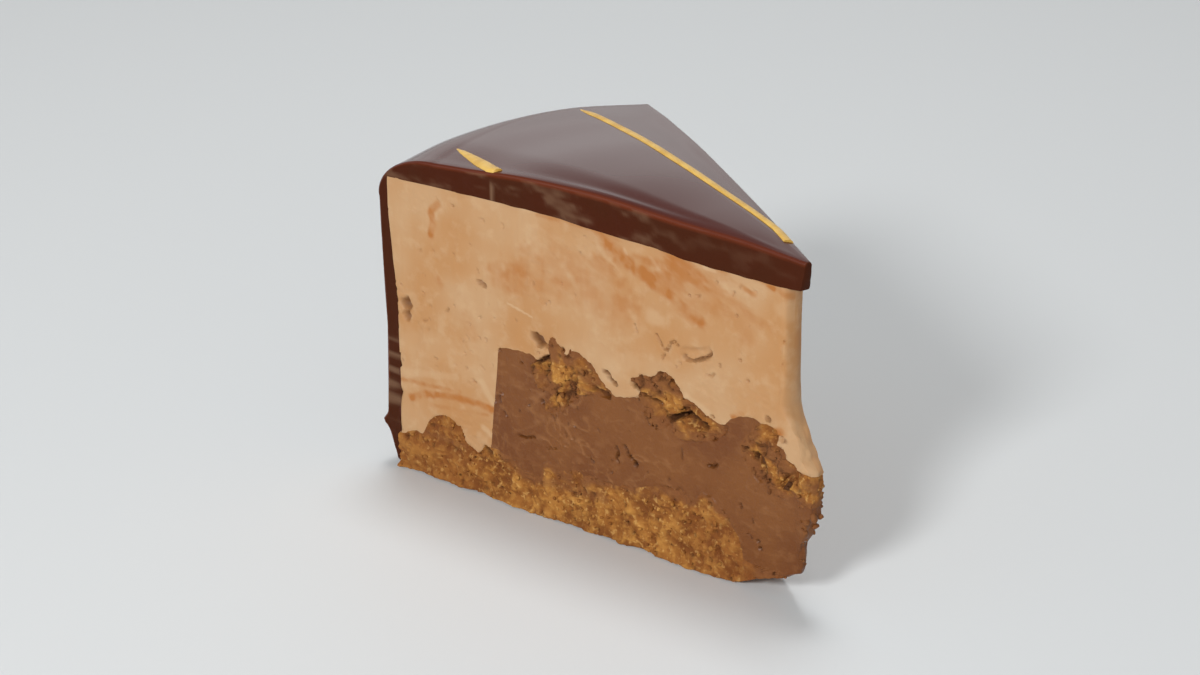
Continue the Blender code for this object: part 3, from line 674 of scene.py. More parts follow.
def paintLayer(piece, isBiscuit, isChunk):     # attributes that the materials read: colour marks, and painted shade in holes, cracks, gaps and pits
    points = pointsOf(piece)
    s, v, z = cutPlace(points)
    kinds = ("orange", "pale", "bubbleShade", "hollowShade", "tone", "choc", "swirl", "darkerEnds")
    marks = {kind: np.zeros(len(s)) for kind in kinds}

    def put(name, *layers):     # the strongest of the layers
        marks[name][here] = np.maximum.reduce(layers)

    for half in (0, 1):
        here = (v > 0.5) == bool(half)
        hs, hz = s[here], z[here]
        depth = {kind: markDepth(hs, hz, half, kind) for kind in nearMarks}
        broken = np.clip(0.85 + 0.8 * layeredNoise(hs, hz, half * 9.0, 1.6, 15, 3), 0, 1.2)
        under = 0.3 if half else smooth((hz - 46.0) / 9.0) * smooth((58.0 - hs) / 20.0)     # below the glaze
        drawn = layeredNoise((0.92 * hs + 0.4 * hz) * 0.4, 0.92 * hz - 0.4 * hs, half * 9.0, 2.6, 16, 4)
        put("orange", depth["orange"] * broken, under * smooth(0.30 + 1.3 * drawn))
        put("pale", depth["pale"])
        # the holes get painted shade, darker with their depth
        put("bubbleShade", depth["holes"])
        lumps, grain, pit = bakedRelief(hs, hz, half, *((2.8, 50) if isChunk else (2.3, 20)))
        put("tone", np.clip(0.5 + 0.6 * lumps + 0.3 * (grain - 0.4), 0, 1))
        # painted shade in the cracks, gaps, crumb pits and chunk crevices
        put("hollowShade", depth["cracks"], depth["gaps"], 0.8 * pit * isBiscuit, chunkGaps(hs, hz, half) * isChunk)
        if isChunk:
            inside = [chunkInside(shape, hs, hz, number) for number, shape in enumerate(chunkShapes.values())
                      if shape["cut"] in (half, 0.5)]
            smears = chocolateSmear(hs, hz, half, 0.6 * np.maximum.reduce([0 * hs] + inside))
        else:
            smears = chocolateSmear(hs, hz, half, (baseTop(hs, float(half)) - hz) * 1.3) * smooth((66 - hs) / 3)
        put("choc", smears, depth["chocolate"])
        put("swirl", fillingLines(hs, hz, half))
        # the base is darker towards both ends and at its low corner by the tip
        ends = 0.5 * smooth((hs - 64.0) / 12.0) + 0.4 * smooth((26.0 - hs) / 8.0)
        put("darkerEnds", smooth((13.0 - hs) / 3.0) * smooth((9.0 - hz) / 3.0), ends * (not isChunk))
    onFront = smooth((6.0 - s) / 2.0) * smooth((halfWidth(s, z) - np.abs(points[:, 1] * 1000)) / 0.5 - 0.4)
    # no painted shade on the rounded front of the tip
    for name in ("bubbleShade", "hollowShade"):
        marks[name] *= 1 - onFront
    for name, values in marks.items():
        store(piece, name, values)


# Shader building blocks
def paint(*screen):     # screen colour to linear
    return (*[((part / 255 + 0.055) / 1.055) ** 2.4 if part > 10 else part / 255 / 12.92 for part in screen], 1.0)


def plug(tree, socket, value):     # a socket takes another socket or a plain value
    if hasattr(value, "is_output"):
        tree.links.new(value, socket)
    else:
        socket.default_value = value


def addNode(tree, kind, *values, **settings):     # settings by name, then values for the sockets in their order
    node = tree.nodes.new(kind)
    for key, value in settings.items():
        if key in node.bl_rna.properties:
            setattr(node, key, value)
        else:
            plug(tree, node.inputs[key], value)
    for socket, value in zip(node.inputs, values):
        if value is not None:
            plug(tree, socket, value)
    node.location = (180 * len(tree.nodes), -60 * (len(tree.nodes) % 7))
    return node


def doMath(tree, operation, first, second=0.0, clamp=False):
    return addNode(tree, "ShaderNodeMath", first, second, operation=operation, use_clamp=clamp).outputs[0]


def fitRange(tree, value, low, high, start=0.0, end=1.0):
    node = addNode(tree, "ShaderNodeMapRange", interpolation_type="SMOOTHSTEP")
    for label, part in zip(("Value", "From Min", "From Max", "To Min", "To Max"), (value, low, high, start, end)):
        plug(tree, node.inputs[label], part)
    return node.outputs["Result"]


def addNoise(tree, place, scale, detail=2.0, **values):
    return addNode(tree, "ShaderNodeTexNoise", Vector=place, Scale=scale, Detail=detail, **values).outputs


def addSocket(tree, name, way, kind):
    return tree.interface.new_socket(name=name, in_out=way, socket_type="NodeSocket" + kind)


def newGroup(name, outputs, **inputs):     # a group that reads a place and plain numbers
    group = bpy.data.node_groups.new(name, "ShaderNodeTree")
    addSocket(group, "Vector", "INPUT", "Vector")
    for label, value in inputs.items():
        addSocket(group, label, "INPUT", "Float").default_value = value
    for label in outputs:
        addSocket(group, label, "OUTPUT", "Float")
    return group, group.nodes.new("NodeGroupInput").outputs, group.nodes.new("NodeGroupOutput").inputs


def useGroup(tree, group, place, **values):
    return addNode(tree, "ShaderNodeGroup", node_tree=group, Vector=place, **values).outputs


def cloudGroup():     # cloudy mask, soft or hard edged
    group, ins, outs = newGroup("cloud", ["Mask"], Scale=100.0, Detail=3.0, Low=0.35, High=0.65)
    noise = addNoise(group, ins["Vector"], ins["Scale"], ins["Detail"])["Fac"]
    plug(group, outs["Mask"], fitRange(group, noise, ins["Low"], ins["High"]))
    return group


def pinholeGroup():     # scattered small pits
    group, ins, outs = newGroup("pinholes", ["Mask"], Scale=600.0, Size=0.25, Share=0.3)
    cell = addNode(group, "ShaderNodeTexVoronoi", Vector=ins["Vector"], Scale=ins["Scale"]).outputs
    chance = addNode(group, "ShaderNodeSeparateColor", Color=cell["Color"]).outputs["Red"]
    picked = doMath(group, "LESS_THAN", chance, ins["Share"])
    pit = fitRange(group, cell["Distance"], 0.0, ins["Size"], 1.0, 0.0)
    plug(group, outs["Mask"], doMath(group, "MULTIPLY", pit, picked))
    return group


def grainGroup():     # baked crumb: a tone from fine to coarse, light flecks, pits that the material paints as shade, and a height
    group, ins, outs = newGroup("bakedGrain", ["Tone", "Fleck", "Pit", "Height"], Scale=900.0)
    place, scale = ins["Vector"], ins["Scale"]
    noise = addNoise(group, place, scale, 4.0, Roughness=0.62)["Fac"]
    fleck = addNoise(group, place, doMath(group, "MULTIPLY", scale, 1.7))["Fac"]
    pit = useGroup(group, pinholes, place, Scale=scale, Size=0.20, Share=0.22)["Mask"]
    plug(group, outs["Tone"], fitRange(group, noise, 0.34, 0.66))
    plug(group, outs["Fleck"], fitRange(group, fleck, 0.57, 0.70))
    plug(group, outs["Pit"], pit)
    plug(group, outs["Height"], doMath(group, "SUBTRACT", noise, pit))
    return group


def dragGroup():     # streaks drawn out by a knife
    group, ins, outs = newGroup("knifeDrag", ["Value"], Scale=300.0, Stretch=8.0)
    x, y, z = addNode(group, "ShaderNodeSeparateXYZ", ins["Vector"]).outputs
    place = addNode(group, "ShaderNodeCombineXYZ", x, y, doMath(group, "DIVIDE", z, ins["Stretch"])).outputs[0]
    plug(group, outs["Value"], addNoise(group, place, ins["Scale"], Distortion=0.4)["Fac"])
    return group


cloud, pinholes, knifeDrag = cloudGroup(), pinholeGroup(), dragGroup()
bakedGrain = grainGroup()


def cloudMask(tree, place, scale, detail, low, high):
    return useGroup(tree, cloud, place, Scale=scale, Detail=detail, Low=low, High=high)["Mask"]


def newMaterial(name):
    material = bpy.data.materials.new(name)
    material.use_nodes = True
    return material, material.node_tree, addNode(material.node_tree, "ShaderNodeTexCoord").outputs["Object"]


def weigh(tree, value, times, start=0.0):     # a mask or an attribute, counted from a start and scaled
    if isinstance(value, str):
        value = addNode(tree, "ShaderNodeAttribute", attribute_name=value).outputs["Fac"]
    if start:
        value = doMath(tree, "SUBTRACT", value, start)
    return doMath(tree, "MULTIPLY", value, times, True)


def layColours(tree, colour, *coats):     # each coat is a mask and the colour that it brings
    for mask, coat in coats:
        node = addNode(tree, "ShaderNodeMix", data_type="RGBA", clamp_factor=True)
        for number, value in ((0, mask), (6, colour), (7, coat)):
            plug(tree, node.inputs[number], value)
        colour = node.outputs[2]
    return colour


def shadeWith(tree, colour, roughness, specular, *bumps):     # each bump is a height and a depth
    shader = tree.nodes["Principled BSDF"]
    plug(tree, shader.inputs["Base Color"], colour)
    shader.inputs["Roughness"].default_value = roughness
    shader.inputs["Specular IOR Level"].default_value = specular
    normal = None
    for height, depth in bumps:
        bump = addNode(tree, "ShaderNodeBump", Strength=1.0, Distance=depth, Height=height)
        if normal:
            plug(tree, bump.inputs["Normal"], normal)
        normal = bump.outputs["Normal"]
    plug(tree, shader.inputs["Normal"], normal)
    return shader


# pit is the colour of the painted shade in the mousse's holes, cracks and gaps
mousseLook = {
    "body": paint(188, 149, 108), "deep": paint(180, 130, 80), "pale": paint(199, 166, 128),
    "orange": paint(170, 106, 46), "pit": paint(116, 74, 38), "roughness": 0.55, "softness": 0.06,
}


def mousseMaterial():
    material, tree, place = newMaterial("caramelMousse")
    k = mousseLook
    broad = cloudMask(tree, place, 55.0, 2.0, 0.35, 0.68)
    speck = cloudMask(tree, place, 420.0, 4.0, 0.45, 0.75)
    drag = useGroup(tree, knifeDrag, place, Scale=260.0, Stretch=6.0)["Value"]
    # painted shade in the holes, cracks and gaps
    dark = doMath(tree, "MAXIMUM", weigh(tree, "hollowShade", 0.85), weigh(tree, "bubbleShade", 0.60))
    colour = layColours(tree, k["body"], (broad, k["deep"]), (weigh(tree, speck, 0.35), k["pale"]),
                        (weigh(tree, drag, 0.9, 0.5), k["deep"]), (weigh(tree, "pale", 0.8), k["pale"]),
                        (weigh(tree, "orange", doMath(tree, "ADD", drag, 0.5)), k["orange"]), (dark, k["pit"]))
    shader = shadeWith(tree, colour, k["roughness"], 0.35, (speck, 0.00006), (drag, 0.00012))
    shader.inputs["Subsurface Weight"].default_value = k["softness"]
    shader.inputs["Subsurface Radius"].default_value = (1.0, 0.65, 0.4)
    shader.inputs["Subsurface Scale"].default_value = 0.002
    return material


# pit is the colour of the painted shade in the filling's cracks and gaps
fillingLook = {
    "body": paint(122, 73, 31), "deep": paint(108, 60, 22), "pale": paint(150, 102, 60), "pit": paint(54, 25, 8),
    "roughness": 0.42,
}


def fillingMaterial():
    material, tree, place = newMaterial("milkChocolate")
    k = fillingLook
    broad = cloudMask(tree, place, 70.0, 3.0, 0.35, 0.65)
    drag = useGroup(tree, knifeDrag, place, Scale=420.0, Stretch=0.6)["Value"]
    fine = cloudMask(tree, place, 900.0, 3.0, 0.3, 0.7)
    # the cracks and gaps get painted shade as the last coat
    colour = layColours(tree, k["body"], (broad, k["deep"]), (weigh(tree, "swirl", 0.6), k["pale"]),
                        (weigh(tree, drag, 1.4, 0.52), k["pale"]), (weigh(tree, "hollowShade", 1.1), k["pit"]))
    shadeWith(tree, colour, k["roughness"], 0.3, (drag, 0.00018), (fine, 0.00006))
    return material


# gap is the colour of the painted shade in crevices, cracks and pits
biscuitLook = {
    "body": paint(150, 94, 36), "dark": paint(110, 59, 15), "light": paint(190, 134, 62),
    "fleck": paint(212, 164, 94), "gap": paint(80, 44, 14), "darkerEnds": paint(120, 64, 22),
    "chocolate": paint(122, 74, 38), "roughness": 0.8,
}


def biscuitMaterial():
    material, tree, place = newMaterial("goldenBiscuit")
    k = biscuitLook
    grain = useGroup(tree, bakedGrain, place, Scale=640.0)
    broad = cloudMask(tree, place, 230.0, 3.0, 0.42, 0.60)
    # painted shade in the crevices, cracks and pits
    dark = doMath(tree, "MAXIMUM", weigh(tree, "hollowShade", 0.9), weigh(tree, grain["Pit"], 0.4))
    colour = layColours(tree, k["body"], (weigh(tree, broad, 0.7), k["dark"]),
                        (weigh(tree, "tone", 1.7, 0.5), k["light"]), (weigh(tree, "tone", -2.0, 0.42), k["dark"]),
                        (weigh(tree, grain["Tone"], 0.8, 0.45), k["light"]),
                        # darker towards both ends of the base and at its low corner by the tip
                        (weigh(tree, grain["Fleck"], 0.5), k["fleck"]), (weigh(tree, "darkerEnds", 0.75), k["darkerEnds"]),
                        (weigh(tree, "choc", 0.9), k["chocolate"]), (dark, k["gap"]))
    shadeWith(tree, colour, k["roughness"], 0.3, (grain["Height"], 0.00045))
    return material


# rim is a painted reddish highlight along the rounded rim of the glaze
glazeLook = {
    "body": paint(74, 22, 9), "cut": paint(66, 30, 12), "rimHighlight": paint(100, 44, 22), "smear": paint(124, 94, 72),
    "roughness": 0.5, "shine": 0.12,
}


def glazeMaterial():
    material, tree, place = newMaterial("darkGlaze")
    k = glazeLook
    cut, rimHighlight, smear = (weigh(tree, name, 1.0) for name in ("cut", "rimHighlight", "smear"))
    broad = cloudMask(tree, place, 60.0, 2.0, 0.4, 0.65)
    fine = cloudMask(tree, place, 500.0, 3.0, 0.3, 0.7)
    colour = layColours(tree, k["body"], (cut, k["cut"]), (weigh(tree, broad, 0.25), k["body"]),
                        (rimHighlight, k["rimHighlight"]), (smear, k["smear"]))
    shader = shadeWith(tree, colour, k["roughness"], 0.06, (doMath(tree, "MULTIPLY", fine, cut), 0.00004))
    plug(tree, shader.inputs["Coat Weight"], doMath(tree, "SUBTRACT", 1.0, cut, True))
    shader.inputs["Coat Roughness"].default_value = k["shine"]
    shader.inputs["Coat IOR"].default_value = 1.42
    return material


icingLook = {"body": paint(226, 184, 92), "deep": paint(208, 162, 70), "roughness": 0.38}


def icingMaterial():
    material, tree, place = newMaterial("yellowIcing")
    k = icingLook
    broad = cloudMask(tree, place, 300.0, 3.0, 0.35, 0.7)
    shadeWith(tree, layColours(tree, k["body"], (broad, k["deep"])), k["roughness"], 0.5, (broad, 0.00008))
    return material


# Glaze
glazeForm = {
    "pathSteps": 150, "shoulderSteps": 26, "skirtSteps": 90, "edgeLanes": 9, "midLanes": 46, "layers": 9,
    "rimRadius": 0.45, "lipRise": 0.22, "lipAway": 1.1, "footLip": 1.2, "footLipHeight": 8.4,
    "cornerDrop": 3.9, "tipRound": 0.2, "tipLean": 0.7,
}


def rimDrop(away, radius):     # how far the rounded rim has fallen, so far from the cut
    inside = np.clip(1 - away / radius, 0, 1)
    return radius * (1 - np.sqrt(1 - inside ** 2))


def glazeSurface(s, v):     # height of the finished glaze on top of the slice
    k = glazeForm
    width = 2 * halfWidth(np.maximum(s, 0.3), torteForm["onTop"])
    away = np.minimum(v, 1 - v) * width
    lip = k["lipRise"] * hump(away, k["lipAway"], 0.8) * np.clip(s / 10, 0, 1) * np.clip((86 - s) / 10, 0, 1)
    lip = lip * np.where(v < 0.5, 0.25 + 0.9 * hump(s, 38.0, 13.0), 0.4)
    wave = 0.03 * softNoise(s, v * width, 0.0, 22.0, 81)
    return glazeTop(s, v) + lip + wave - rimDrop(away, k["rimRadius"])


def glazeOutside(i, v):     # a station between the tip, the shoulder and the foot: s, z and how far it leans
    k = glazeForm
    middle, low, wide, high = shoulderAt(v)
    top, turn = k["pathSteps"], k["shoulderSteps"]
    flat = torteForm["tipGap"] + (middle - torteForm["tipGap"]) * np.clip(i / top, 0, 1)
    angle = np.clip((i - top) / turn, 0, 1) * math.pi / 2
    down = np.clip((i - top - turn) / k["skirtSteps"], 0, 1)
    z = np.where(i > top + turn, low + (1.0 - low) * down, low + high * np.cos(angle))
    s = np.where(i > top + turn, along(skirtOuterLine, z), middle + wide * np.sin(angle))
    return np.where(i <= top, flat, s), np.where(i <= top, glazeTop(flat, v), z), np.sin(angle)


def glazeInside(i):
    k = glazeForm
    top, turn = k["pathSteps"], k["shoulderSteps"]
    middle = shoulder["outer"] - shoulder["wide"][0]
    corner = skirtInnerLine[0][1]
    share = np.clip((i - top) / turn, 0, 1)
    flat = torteForm["tipGap"] + (middle - torteForm["tipGap"]) * np.clip(i / top, 0, 1)
    s = flat + (corner - middle) * np.minimum(1, share / 0.7)
    bend = along(mousseTopLine, s) - k["cornerDrop"] * np.maximum(0, share - 0.7) / 0.3
    z = bend + (1.0 - bend) * np.clip((i - top - turn) / k["skirtSteps"], 0, 1)
    return np.where(share > 0.7, along(skirtInnerLine, z), s), z


def makeGlaze():
    k = glazeForm
    turned, lanes, edge = k["pathSteps"] + k["shoulderSteps"], 2 * k["edgeLanes"] + k["midLanes"], k["edgeLanes"]
    places, quads = shellOfCells((turned + k["skirtSteps"], lanes, k["layers"]))
    i, j, w = places[:, 0], places[:, 1], places[:, 2] / k["layers"]
    far, onSide, fromEdge = j > lanes / 2, i > turned, np.minimum(j, lanes - j)
    onCut = fromEdge == 0
    width = 2 * halfWidth(np.maximum(glazeOutside(i, far * 1.0)[0], 0.3), torteForm["onTop"])
    radius = np.minimum(k["rimRadius"], width * 0.3)
    bent = radius * (1 - np.cos(np.minimum(1, fromEdge / edge) * math.pi / 2))
    inner = radius + (width / 2 - radius) * ((fromEdge - edge) / (lanes / 2 - edge))
    away = np.where(fromEdge > edge, inner, bent)
    v = np.where(far, 1 - away / width, away / width)
    s0, z0, lean = glazeOutside(i, v)
    wave = 0.10 * softNoise(z0, v * 60, 5.0, 9.0, 82)
    footLip = k["footLip"] * hump(z0, k["footLipHeight"], 1.1) * (z0 < 20)
    footLip = footLip * (0.2 + 0.8 * hump(v, 0.0, 0.12) + 0.35 * softNoise(v * 60, 0.0, 0.0, 5.0, 83))
    outS = s0 + footLip + (wave - rimDrop(away, radius)) * lean
    outZ = z0 + np.where(onSide, 0.0, (glazeSurface(s0, v) - glazeTop(s0, v)) * (1 - lean))
    outZ = outZ + np.where(z0 < 3, 0.5 * np.abs(softNoise(v * 60, 0.0, 0.0, 3.0, 84)), 0.0)
    inS, inZ = glazeInside(i)
    ragged = softNoise(inZ, inS, far * 9.0, 1.3, 85) * onCut * (1 - w)
    notched = 0.34 + 0.34 * smooth((27 - inZ) / 3) * smooth((inZ - 8) / 3)
    s = inS + (outS - inS) * w + np.where(onSide, ragged * notched, 0)
    uneven = softNoise(inS, far * 9.0, 0.0, 3.0, 90) * onCut * (1 - w) * 0.12
    z = inZ + (outZ - inZ) * w + np.where(onSide, 0, uneven)
    tipCurve = 1 - np.sqrt(1 - (0.97 * (2 * v - 1)) ** 2)
    s = s + (k["tipRound"] * tipCurve + k["tipLean"] * (1 - w) ** 1.5) * np.clip(1 - i / 4, 0, 1)
    rough = 0.10 * softNoise(s, z, far * 7.0, 3.0, 86) + 0.05 * softNoise(s, z, far * 7.0, 1.0, 87)
    glaze = makeMesh("darkGlaze", placePoints(s, v, z, np.where(onCut, 0.06 + rough, 0.0)), quads)
    face = (onCut | (i == 0)).astype(float)
    # painted highlight along the rounded rim, strongest about 40 mm from the tip
    rimHighlight = np.exp(-(away / 0.4) ** 2) * (w == 1) * (0.35 + 0.65 * hump(s, 40.0, 40.0))
    bands = smooth(softNoise(z, s * 0.15, far * 3.0, 1.5, 88) * 2.2 - 0.5)
    bands = bands * smooth((28 - z) / 3) * smooth((z - 8) / 3)
    streak = 0.75 * smooth(1.3 - np.abs(s - 64.5) / 0.4) * ~far * smooth((62.0 - z) / 1.5) * ~onSide
    blotch = smooth(layeredNoise(s * 0.4, z, far * 5.0, 1.6, 89) * 1.6) * ~onSide
    blotch = (0.12 + 0.3 * smooth((s - 20) / 15)) * blotch
    smear = np.maximum.reduce([bands * onSide * 0.6, streak, blotch]) * face
    for name, values in (("cut", face), ("rimHighlight", rimHighlight), ("smear", smear)):
        store(glaze, name, values)
    soften(glaze, 55)
    return glaze


# Piped stripes: Geometry Nodes draw a flat ribbon along a line, which is then laid on the glaze
stripeForm = {
    "flatness": 0.42,      # height to half width
    "steps": 90,
    "stripeLong": {     # points: distance back from the tip and across, in millimetres
        "points": [(84.9, 13.8), (81.1, 13.4), (75.9, 12.7), (66.5, 11.3), (56.1, 9.4), (47.1, 7.95),
                   (38.3, 6.75), (30.6, 5.85), (22.9, 5.05), (15.2, 4.1), (8.2, 3.0)],
        "widths": [(0, 0.2), (0.05, 0.75), (0.5, 0.87), (1, 0.9)]},
    "stripeShort": {
        "points": [(77.2, -18.0), (74.2, -18.4), (70.9, -18.85), (64.0, -19.8), (61.0, -20.2)],
        "widths": [(0, 0.15), (0.15, 0.6), (0.4, 0.95), (0.7, 1.3), (1, 1.2)]},
}


def newTree(name, ground, grown, **inputs):     # a tree that grows on a ground mesh, and its inputs' identifiers
    tree = bpy.data.node_groups.new(name, "GeometryNodeTree")
    addSocket(tree, ground, "INPUT", "Geometry")
    sockets = {label: addSocket(tree, label, "INPUT", kind).identifier for label, kind in inputs.items()}
    addSocket(tree, grown, "OUTPUT", "Geometry")
    return tree, sockets, tree.nodes.new("NodeGroupInput").outputs, tree.nodes.new("NodeGroupOutput").inputs


def readNamed(tree, name):
    return addNode(tree, "GeometryNodeInputNamedAttribute", data_type="FLOAT", Name=name).outputs["Attribute"]


def stripeTree(material):
    tree, sockets, ins, outs = newTree("pipedStripe", "Line", "Stripe", Flatness="Float")
    curve = addNode(tree, "GeometryNodeMeshToCurve", Mesh=ins["Line"]).outputs["Curve"]
    upright = addNode(tree, "GeometryNodeSetCurveNormal", mode="Z_UP", Curve=curve).outputs["Curve"]
    ring = addNode(tree, "GeometryNodeCurvePrimitiveCircle", Resolution=20, Radius=1.0).outputs["Curve"]
    size = addNode(tree, "ShaderNodeCombineXYZ", 1.0, ins["Flatness"], 1.0).outputs[0]
    flat = addNode(tree, "GeometryNodeTransform", Geometry=ring, Scale=size).outputs["Geometry"]
    tube = addNode(tree, "GeometryNodeCurveToMesh", **{"Curve": upright, "Profile Curve": flat, "Fill Caps": True,
                                                       "Scale": readNamed(tree, "halfWidth")})
    real = addNode(tree, "GeometryNodeRealizeInstances", tube.outputs["Mesh"]).outputs["Geometry"]
    dress = addNode(tree, "GeometryNodeSetMaterial", Geometry=real, Material=material)
    plug(tree, outs["Stripe"], dress.outputs["Geometry"])
    return tree, sockets


def growNodes(piece, name, tree, sockets, values):     # runs a tree on a piece and keeps the plain mesh
    step = piece.modifiers.new("nodes", "NODES")
    step.node_group = tree
    for label, value in values.items():
        step[sockets[label]] = value
    shape = madeMesh(piece)
    piece.modifiers.remove(step)
    shape.name = name
    return addObject(name, shape)


def makeStripe(name, tree, sockets):
    k = stripeForm[name]
    share = np.linspace(0, 1, stripeForm["steps"] + 1)
    back, across = np.array(k["points"]).T
    passed = (back[0] - back) / (back[0] - back[-1])
    reach, y = np.interp(share, passed, back), np.interp(share, passed, across)
    widths = along(k["widths"], share) * (1 + 0.05 * softNoise(share * 30, 0.0, 0.0, 2.0, 91))
    room = halfWidth(reach / math.cos(torteForm["angle"] / 2), torteForm["onTop"]) - 0.2 - widths * (y > 0)
    points = np.stack([tipX - reach, np.clip(y, -room, room), 0 * y], -1) * 0.001
    mesh = bpy.data.meshes.new(name + "Line")
    mesh.from_pydata([tuple(point) for point in points], [(i, i + 1) for i in range(len(points) - 1)], [])
    line = addObject(name + "Line", mesh)
    store(line, "halfWidth", widths * 0.001)
    stripe = growNodes(line, name, tree, sockets, {"Flatness": stripeForm["flatness"]})
    bpy.data.objects.remove(line)
    flat = pointsOf(stripe) * 1000
    reach = tipX - flat[:, 0]
    edge = halfWidth(np.hypot(reach, flat[:, 1]), torteForm["onTop"]) - 0.30
    flat[:, 1] = np.clip(flat[:, 1], -edge, edge)
    s = np.hypot(reach, flat[:, 1])
    v = 0.5 + flat[:, 1] / (2 * edge + 0.6)
    flat[:, 2] = flat[:, 2] + glazeSurface(s, v)
    stripe.data.vertices.foreach_set("co", (flat * 0.001).astype(np.float32).ravel())
    soften(stripe, 70)
    return stripe


# Loose crumbs on the biscuit, scattered by Geometry Nodes
crumbForm = {
    "base": {"Density": 160000.0, "Smallest": 0.00016, "Largest": 0.00050, "Seed": 3},
    "chunk": {"Density": 200000.0, "Smallest": 0.00018, "Largest": 0.00055, "Seed": 8},
    "tip": {"Density": 300000.0, "Smallest": 0.00025, "Largest": 0.0009, "Seed": 4},
}
crumbZone = {"fromCut": 1.6, "aboveFloor": 1.3, "endsAt": 86, "tipFrom": -0.6, "tipBelow": 25}


def crumbTree(material):
    tree, sockets, ins, outs = newTree("looseCrumbs", "Ground", "Crumbs", Density="Float", Smallest="Float",
                                       Largest="Float", Seed="Int")
    random = "FunctionNodeRandomValue"
    scatter = addNode(tree, "GeometryNodeDistributePointsOnFaces", Mesh=ins["Ground"], Density=ins["Density"],
                      Seed=ins["Seed"], Selection=readNamed(tree, "shows")).outputs["Points"]
    crumb = addNode(tree, "GeometryNodeMeshIcoSphere", Radius=1.0, Subdivisions=2).outputs["Mesh"]
    turn = addNode(tree, random, (0, 0, 0), (6.28, 6.28, 6.28), data_type="FLOAT_VECTOR").outputs[0]
    size = addNode(tree, random, None, None, ins["Smallest"], ins["Largest"], data_type="FLOAT").outputs[1]
    shape = addNode(tree, random, (0.6, 0.6, 0.6), (1.3, 1.1, 1.0), data_type="FLOAT_VECTOR", Seed=5).outputs[0]
    both = addNode(tree, "ShaderNodeVectorMath", shape, operation="SCALE", Scale=size).outputs[0]
    put = addNode(tree, "GeometryNodeInstanceOnPoints", Points=scatter, Instance=crumb, Rotation=turn, Scale=both)
    shade = addNode(tree, random, data_type="FLOAT", Seed=9).outputs[1]
    keep = addNode(tree, "GeometryNodeStoreNamedAttribute", data_type="FLOAT", domain="INSTANCE", Name="tone",
                   Geometry=put.outputs["Instances"], Value=shade).outputs["Geometry"]
    real = addNode(tree, "GeometryNodeRealizeInstances", keep).outputs["Geometry"]
    noise = addNoise(tree, addNode(tree, "GeometryNodeInputPosition").outputs[0], 1500.0)["Color"]
    centred = addNode(tree, "ShaderNodeVectorMath", noise, (0.5, 0.5, 0.5), operation="SUBTRACT").outputs[0]
    push = addNode(tree, "ShaderNodeVectorMath", centred, operation="SCALE", Scale=0.0006).outputs[0]
    knead = addNode(tree, "GeometryNodeSetPosition", Geometry=real, Offset=push).outputs["Geometry"]
    dress = addNode(tree, "GeometryNodeSetMaterial", Geometry=knead, Material=material)
    plug(tree, outs["Crumbs"], dress.outputs["Geometry"])
    return tree, sockets


def markShowing(piece, tipOnly):     # where crumbs lie: on the cut faces or round the tip, clear of the floor
    points = pointsOf(piece)
    s, v, z = cutPlace(points)
    edge = np.maximum(s, 0) * cutSlope + torteForm["tipHalf"]
    k = crumbZone
    onCut = (np.abs(points[:, 1] * 1000) > edge - k["fromCut"]) & (z > k["aboveFloor"]) & (s < k["endsAt"])
    onTip = (s < k["tipFrom"]) & (z < k["tipBelow"])
    store(piece, "shows", (onTip if tipOnly else onCut).astype(float))


def fitBox(piece):     # nothing stands out of the solid's own box
    low, high = np.array(cadBox[0]), np.array(cadBox[1])
    points = np.clip(pointsOf(piece), low, high)
    piece.data.vertices.foreach_set("co", points.astype(np.float32).ravel())
    piece.data.update()


def dressPiece(piece, material, slotName, *nodes):
    piece.data.materials.clear()
    piece.data.materials.append(material)
    fitBox(piece)
    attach(piece, "root")
    if nodes:
        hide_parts(*nodes)


def makeTorte():
    layers = partLayers()
    mousse, filling, biscuit = mousseMaterial(), fillingMaterial(), biscuitMaterial()
    looks = {"mousse": (mousse, "caramel_mousse"), "chocolate_filling": (filling, "milk_chocolate")}
    tree, sockets = crumbTree(biscuit)
    for node, piece in layers.items():
        isChunk = node.startswith("biscuit_chunk")
        material, slotName = looks.get(node, (biscuit, "golden_biscuit"))
        paintLayer(piece, material is biscuit, isChunk)
        soften(piece, 40)
        if material is not mousse:
            markShowing(piece, material is filling)
            values = crumbForm["chunk" if isChunk else "tip" if material is filling else "base"]
            crumbs = growNodes(piece, piece.name + "Bits", tree, sockets, values)
            soften(crumbs, 60)
            dressPiece(crumbs, biscuit, "golden_biscuit")
        dressPiece(piece, material, slotName, node)
    print("layers dressed")
    dressPiece(makeGlaze(), glazeMaterial(), "dark_glaze", "glaze")
    icing = icingMaterial()
    tree, sockets = stripeTree(icing)
    for name in ("stripeLong", "stripeShort"):
        dressPiece(makeStripe(name, tree, sockets), icing, "yellow_icing")
    print("glaze and stripes laid on")


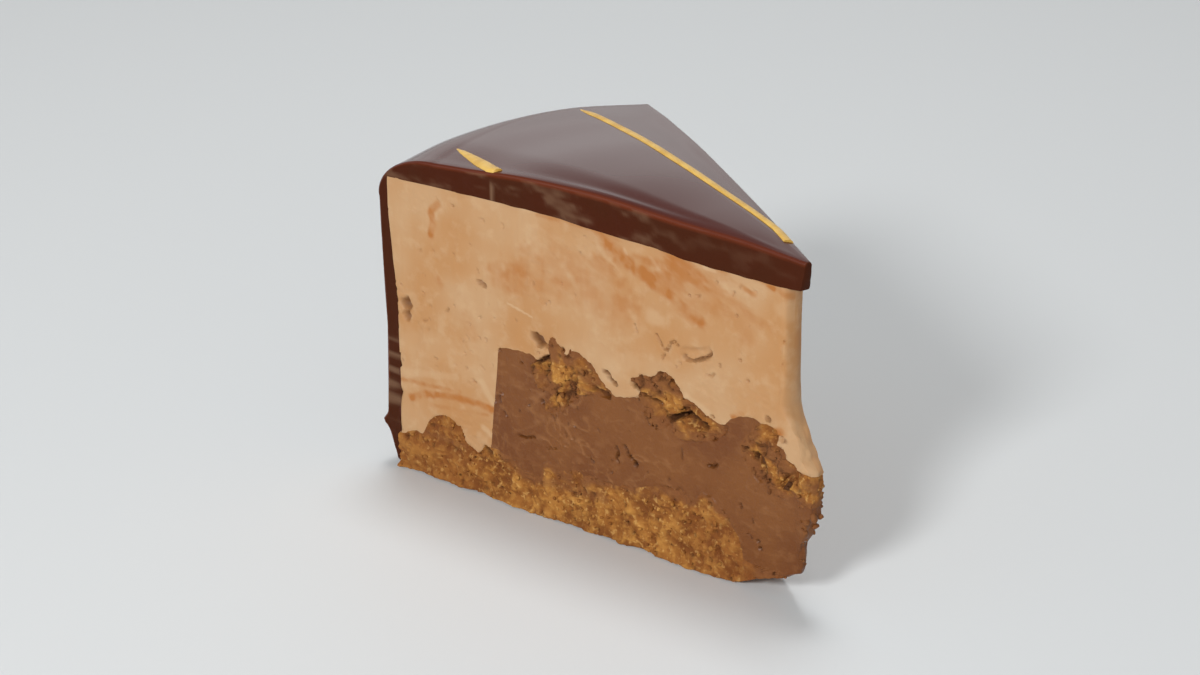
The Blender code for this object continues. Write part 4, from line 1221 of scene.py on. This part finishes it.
# Studio
studio = {
    "floor": paint(218, 221, 222), "floorSize": 4.0, "sky": (0.68, 0.14), "skyFade": (0.26, 0.64), "lens": 81.0,
    "cameraFrom": (307.66, -253.62, 226.46),      # from the slice's tip, in millimetres
    "cameraTurn": math.radians(55.3115), "cameraDrop": math.radians(24.038),
    "key": {"at": (0.40, -0.88, 0.62), "size": 0.25, "power": 8.5},
    "above": {"at": (-0.18, 0.14, 1.0), "size": 0.35, "power": 4.2},
    "card": {"at": (-0.95, 0.66, 0.62), "size": 0.9, "power": 0.35},      # shows in the gloss of the top
}


def areaLight(name, at, size, power):
    light = bpy.data.lights.new(name, "AREA")
    light.shape, light.size, light.energy = "DISK", size, power
    lamp = addObject(name, light)
    lamp.location = at
    lamp.rotation_euler = (Vector((0, 0, 0.03)) - Vector(at)).to_track_quat("-Z", "Y").to_euler()


def makeStudio():
    bpy.ops.mesh.primitive_plane_add(size=studio["floorSize"], location=(0, 0, cadBox[0][2] - 0.0001))
    floor = bpy.context.object
    floor.name = "floor"
    material, tree, _ = newMaterial("paleFloor")
    tree.nodes["Principled BSDF"].inputs["Base Color"].default_value = studio["floor"]
    tree.nodes["Principled BSDF"].inputs["Roughness"].default_value = 0.6
    floor.data.materials.append(material)
    world = bpy.data.worlds.new("softStudio")
    world.use_nodes = True
    sky = world.node_tree
    place = addNode(sky, "ShaderNodeTexCoord").outputs["Generated"]
    height = addNode(sky, "ShaderNodeSeparateXYZ", place).outputs["Z"]
    sky.nodes["Background"].inputs["Color"].default_value = (1, 1, 1, 1)
    strength = fitRange(sky, height, *studio["skyFade"], *studio["sky"])     # brighter towards the horizon
    plug(sky, sky.nodes["Background"].inputs["Strength"], strength)
    bpy.context.scene.world = world
    for name in ("key", "above", "card"):
        areaLight(name, **studio[name])
    bpy.context.scene.view_settings.view_transform = "Standard"


def makeCamera():
    lens = bpy.data.cameras.new("camera")
    lens.lens, lens.sensor_width = studio["lens"], 36.0
    camera = addObject("camera", lens)
    x, y, z = studio["cameraFrom"]
    camera.location = ((tipX + x) / 1000, y / 1000, z / 1000)
    turn, drop = studio["cameraTurn"], studio["cameraDrop"]
    forward = Vector((-math.sin(turn) * math.cos(drop), math.cos(turn) * math.cos(drop), -math.sin(drop)))
    camera.rotation_euler = forward.to_track_quat("-Z", "Y").to_euler()
    bpy.context.scene.camera = camera


makeStudio()
makeCamera()
makeTorte()
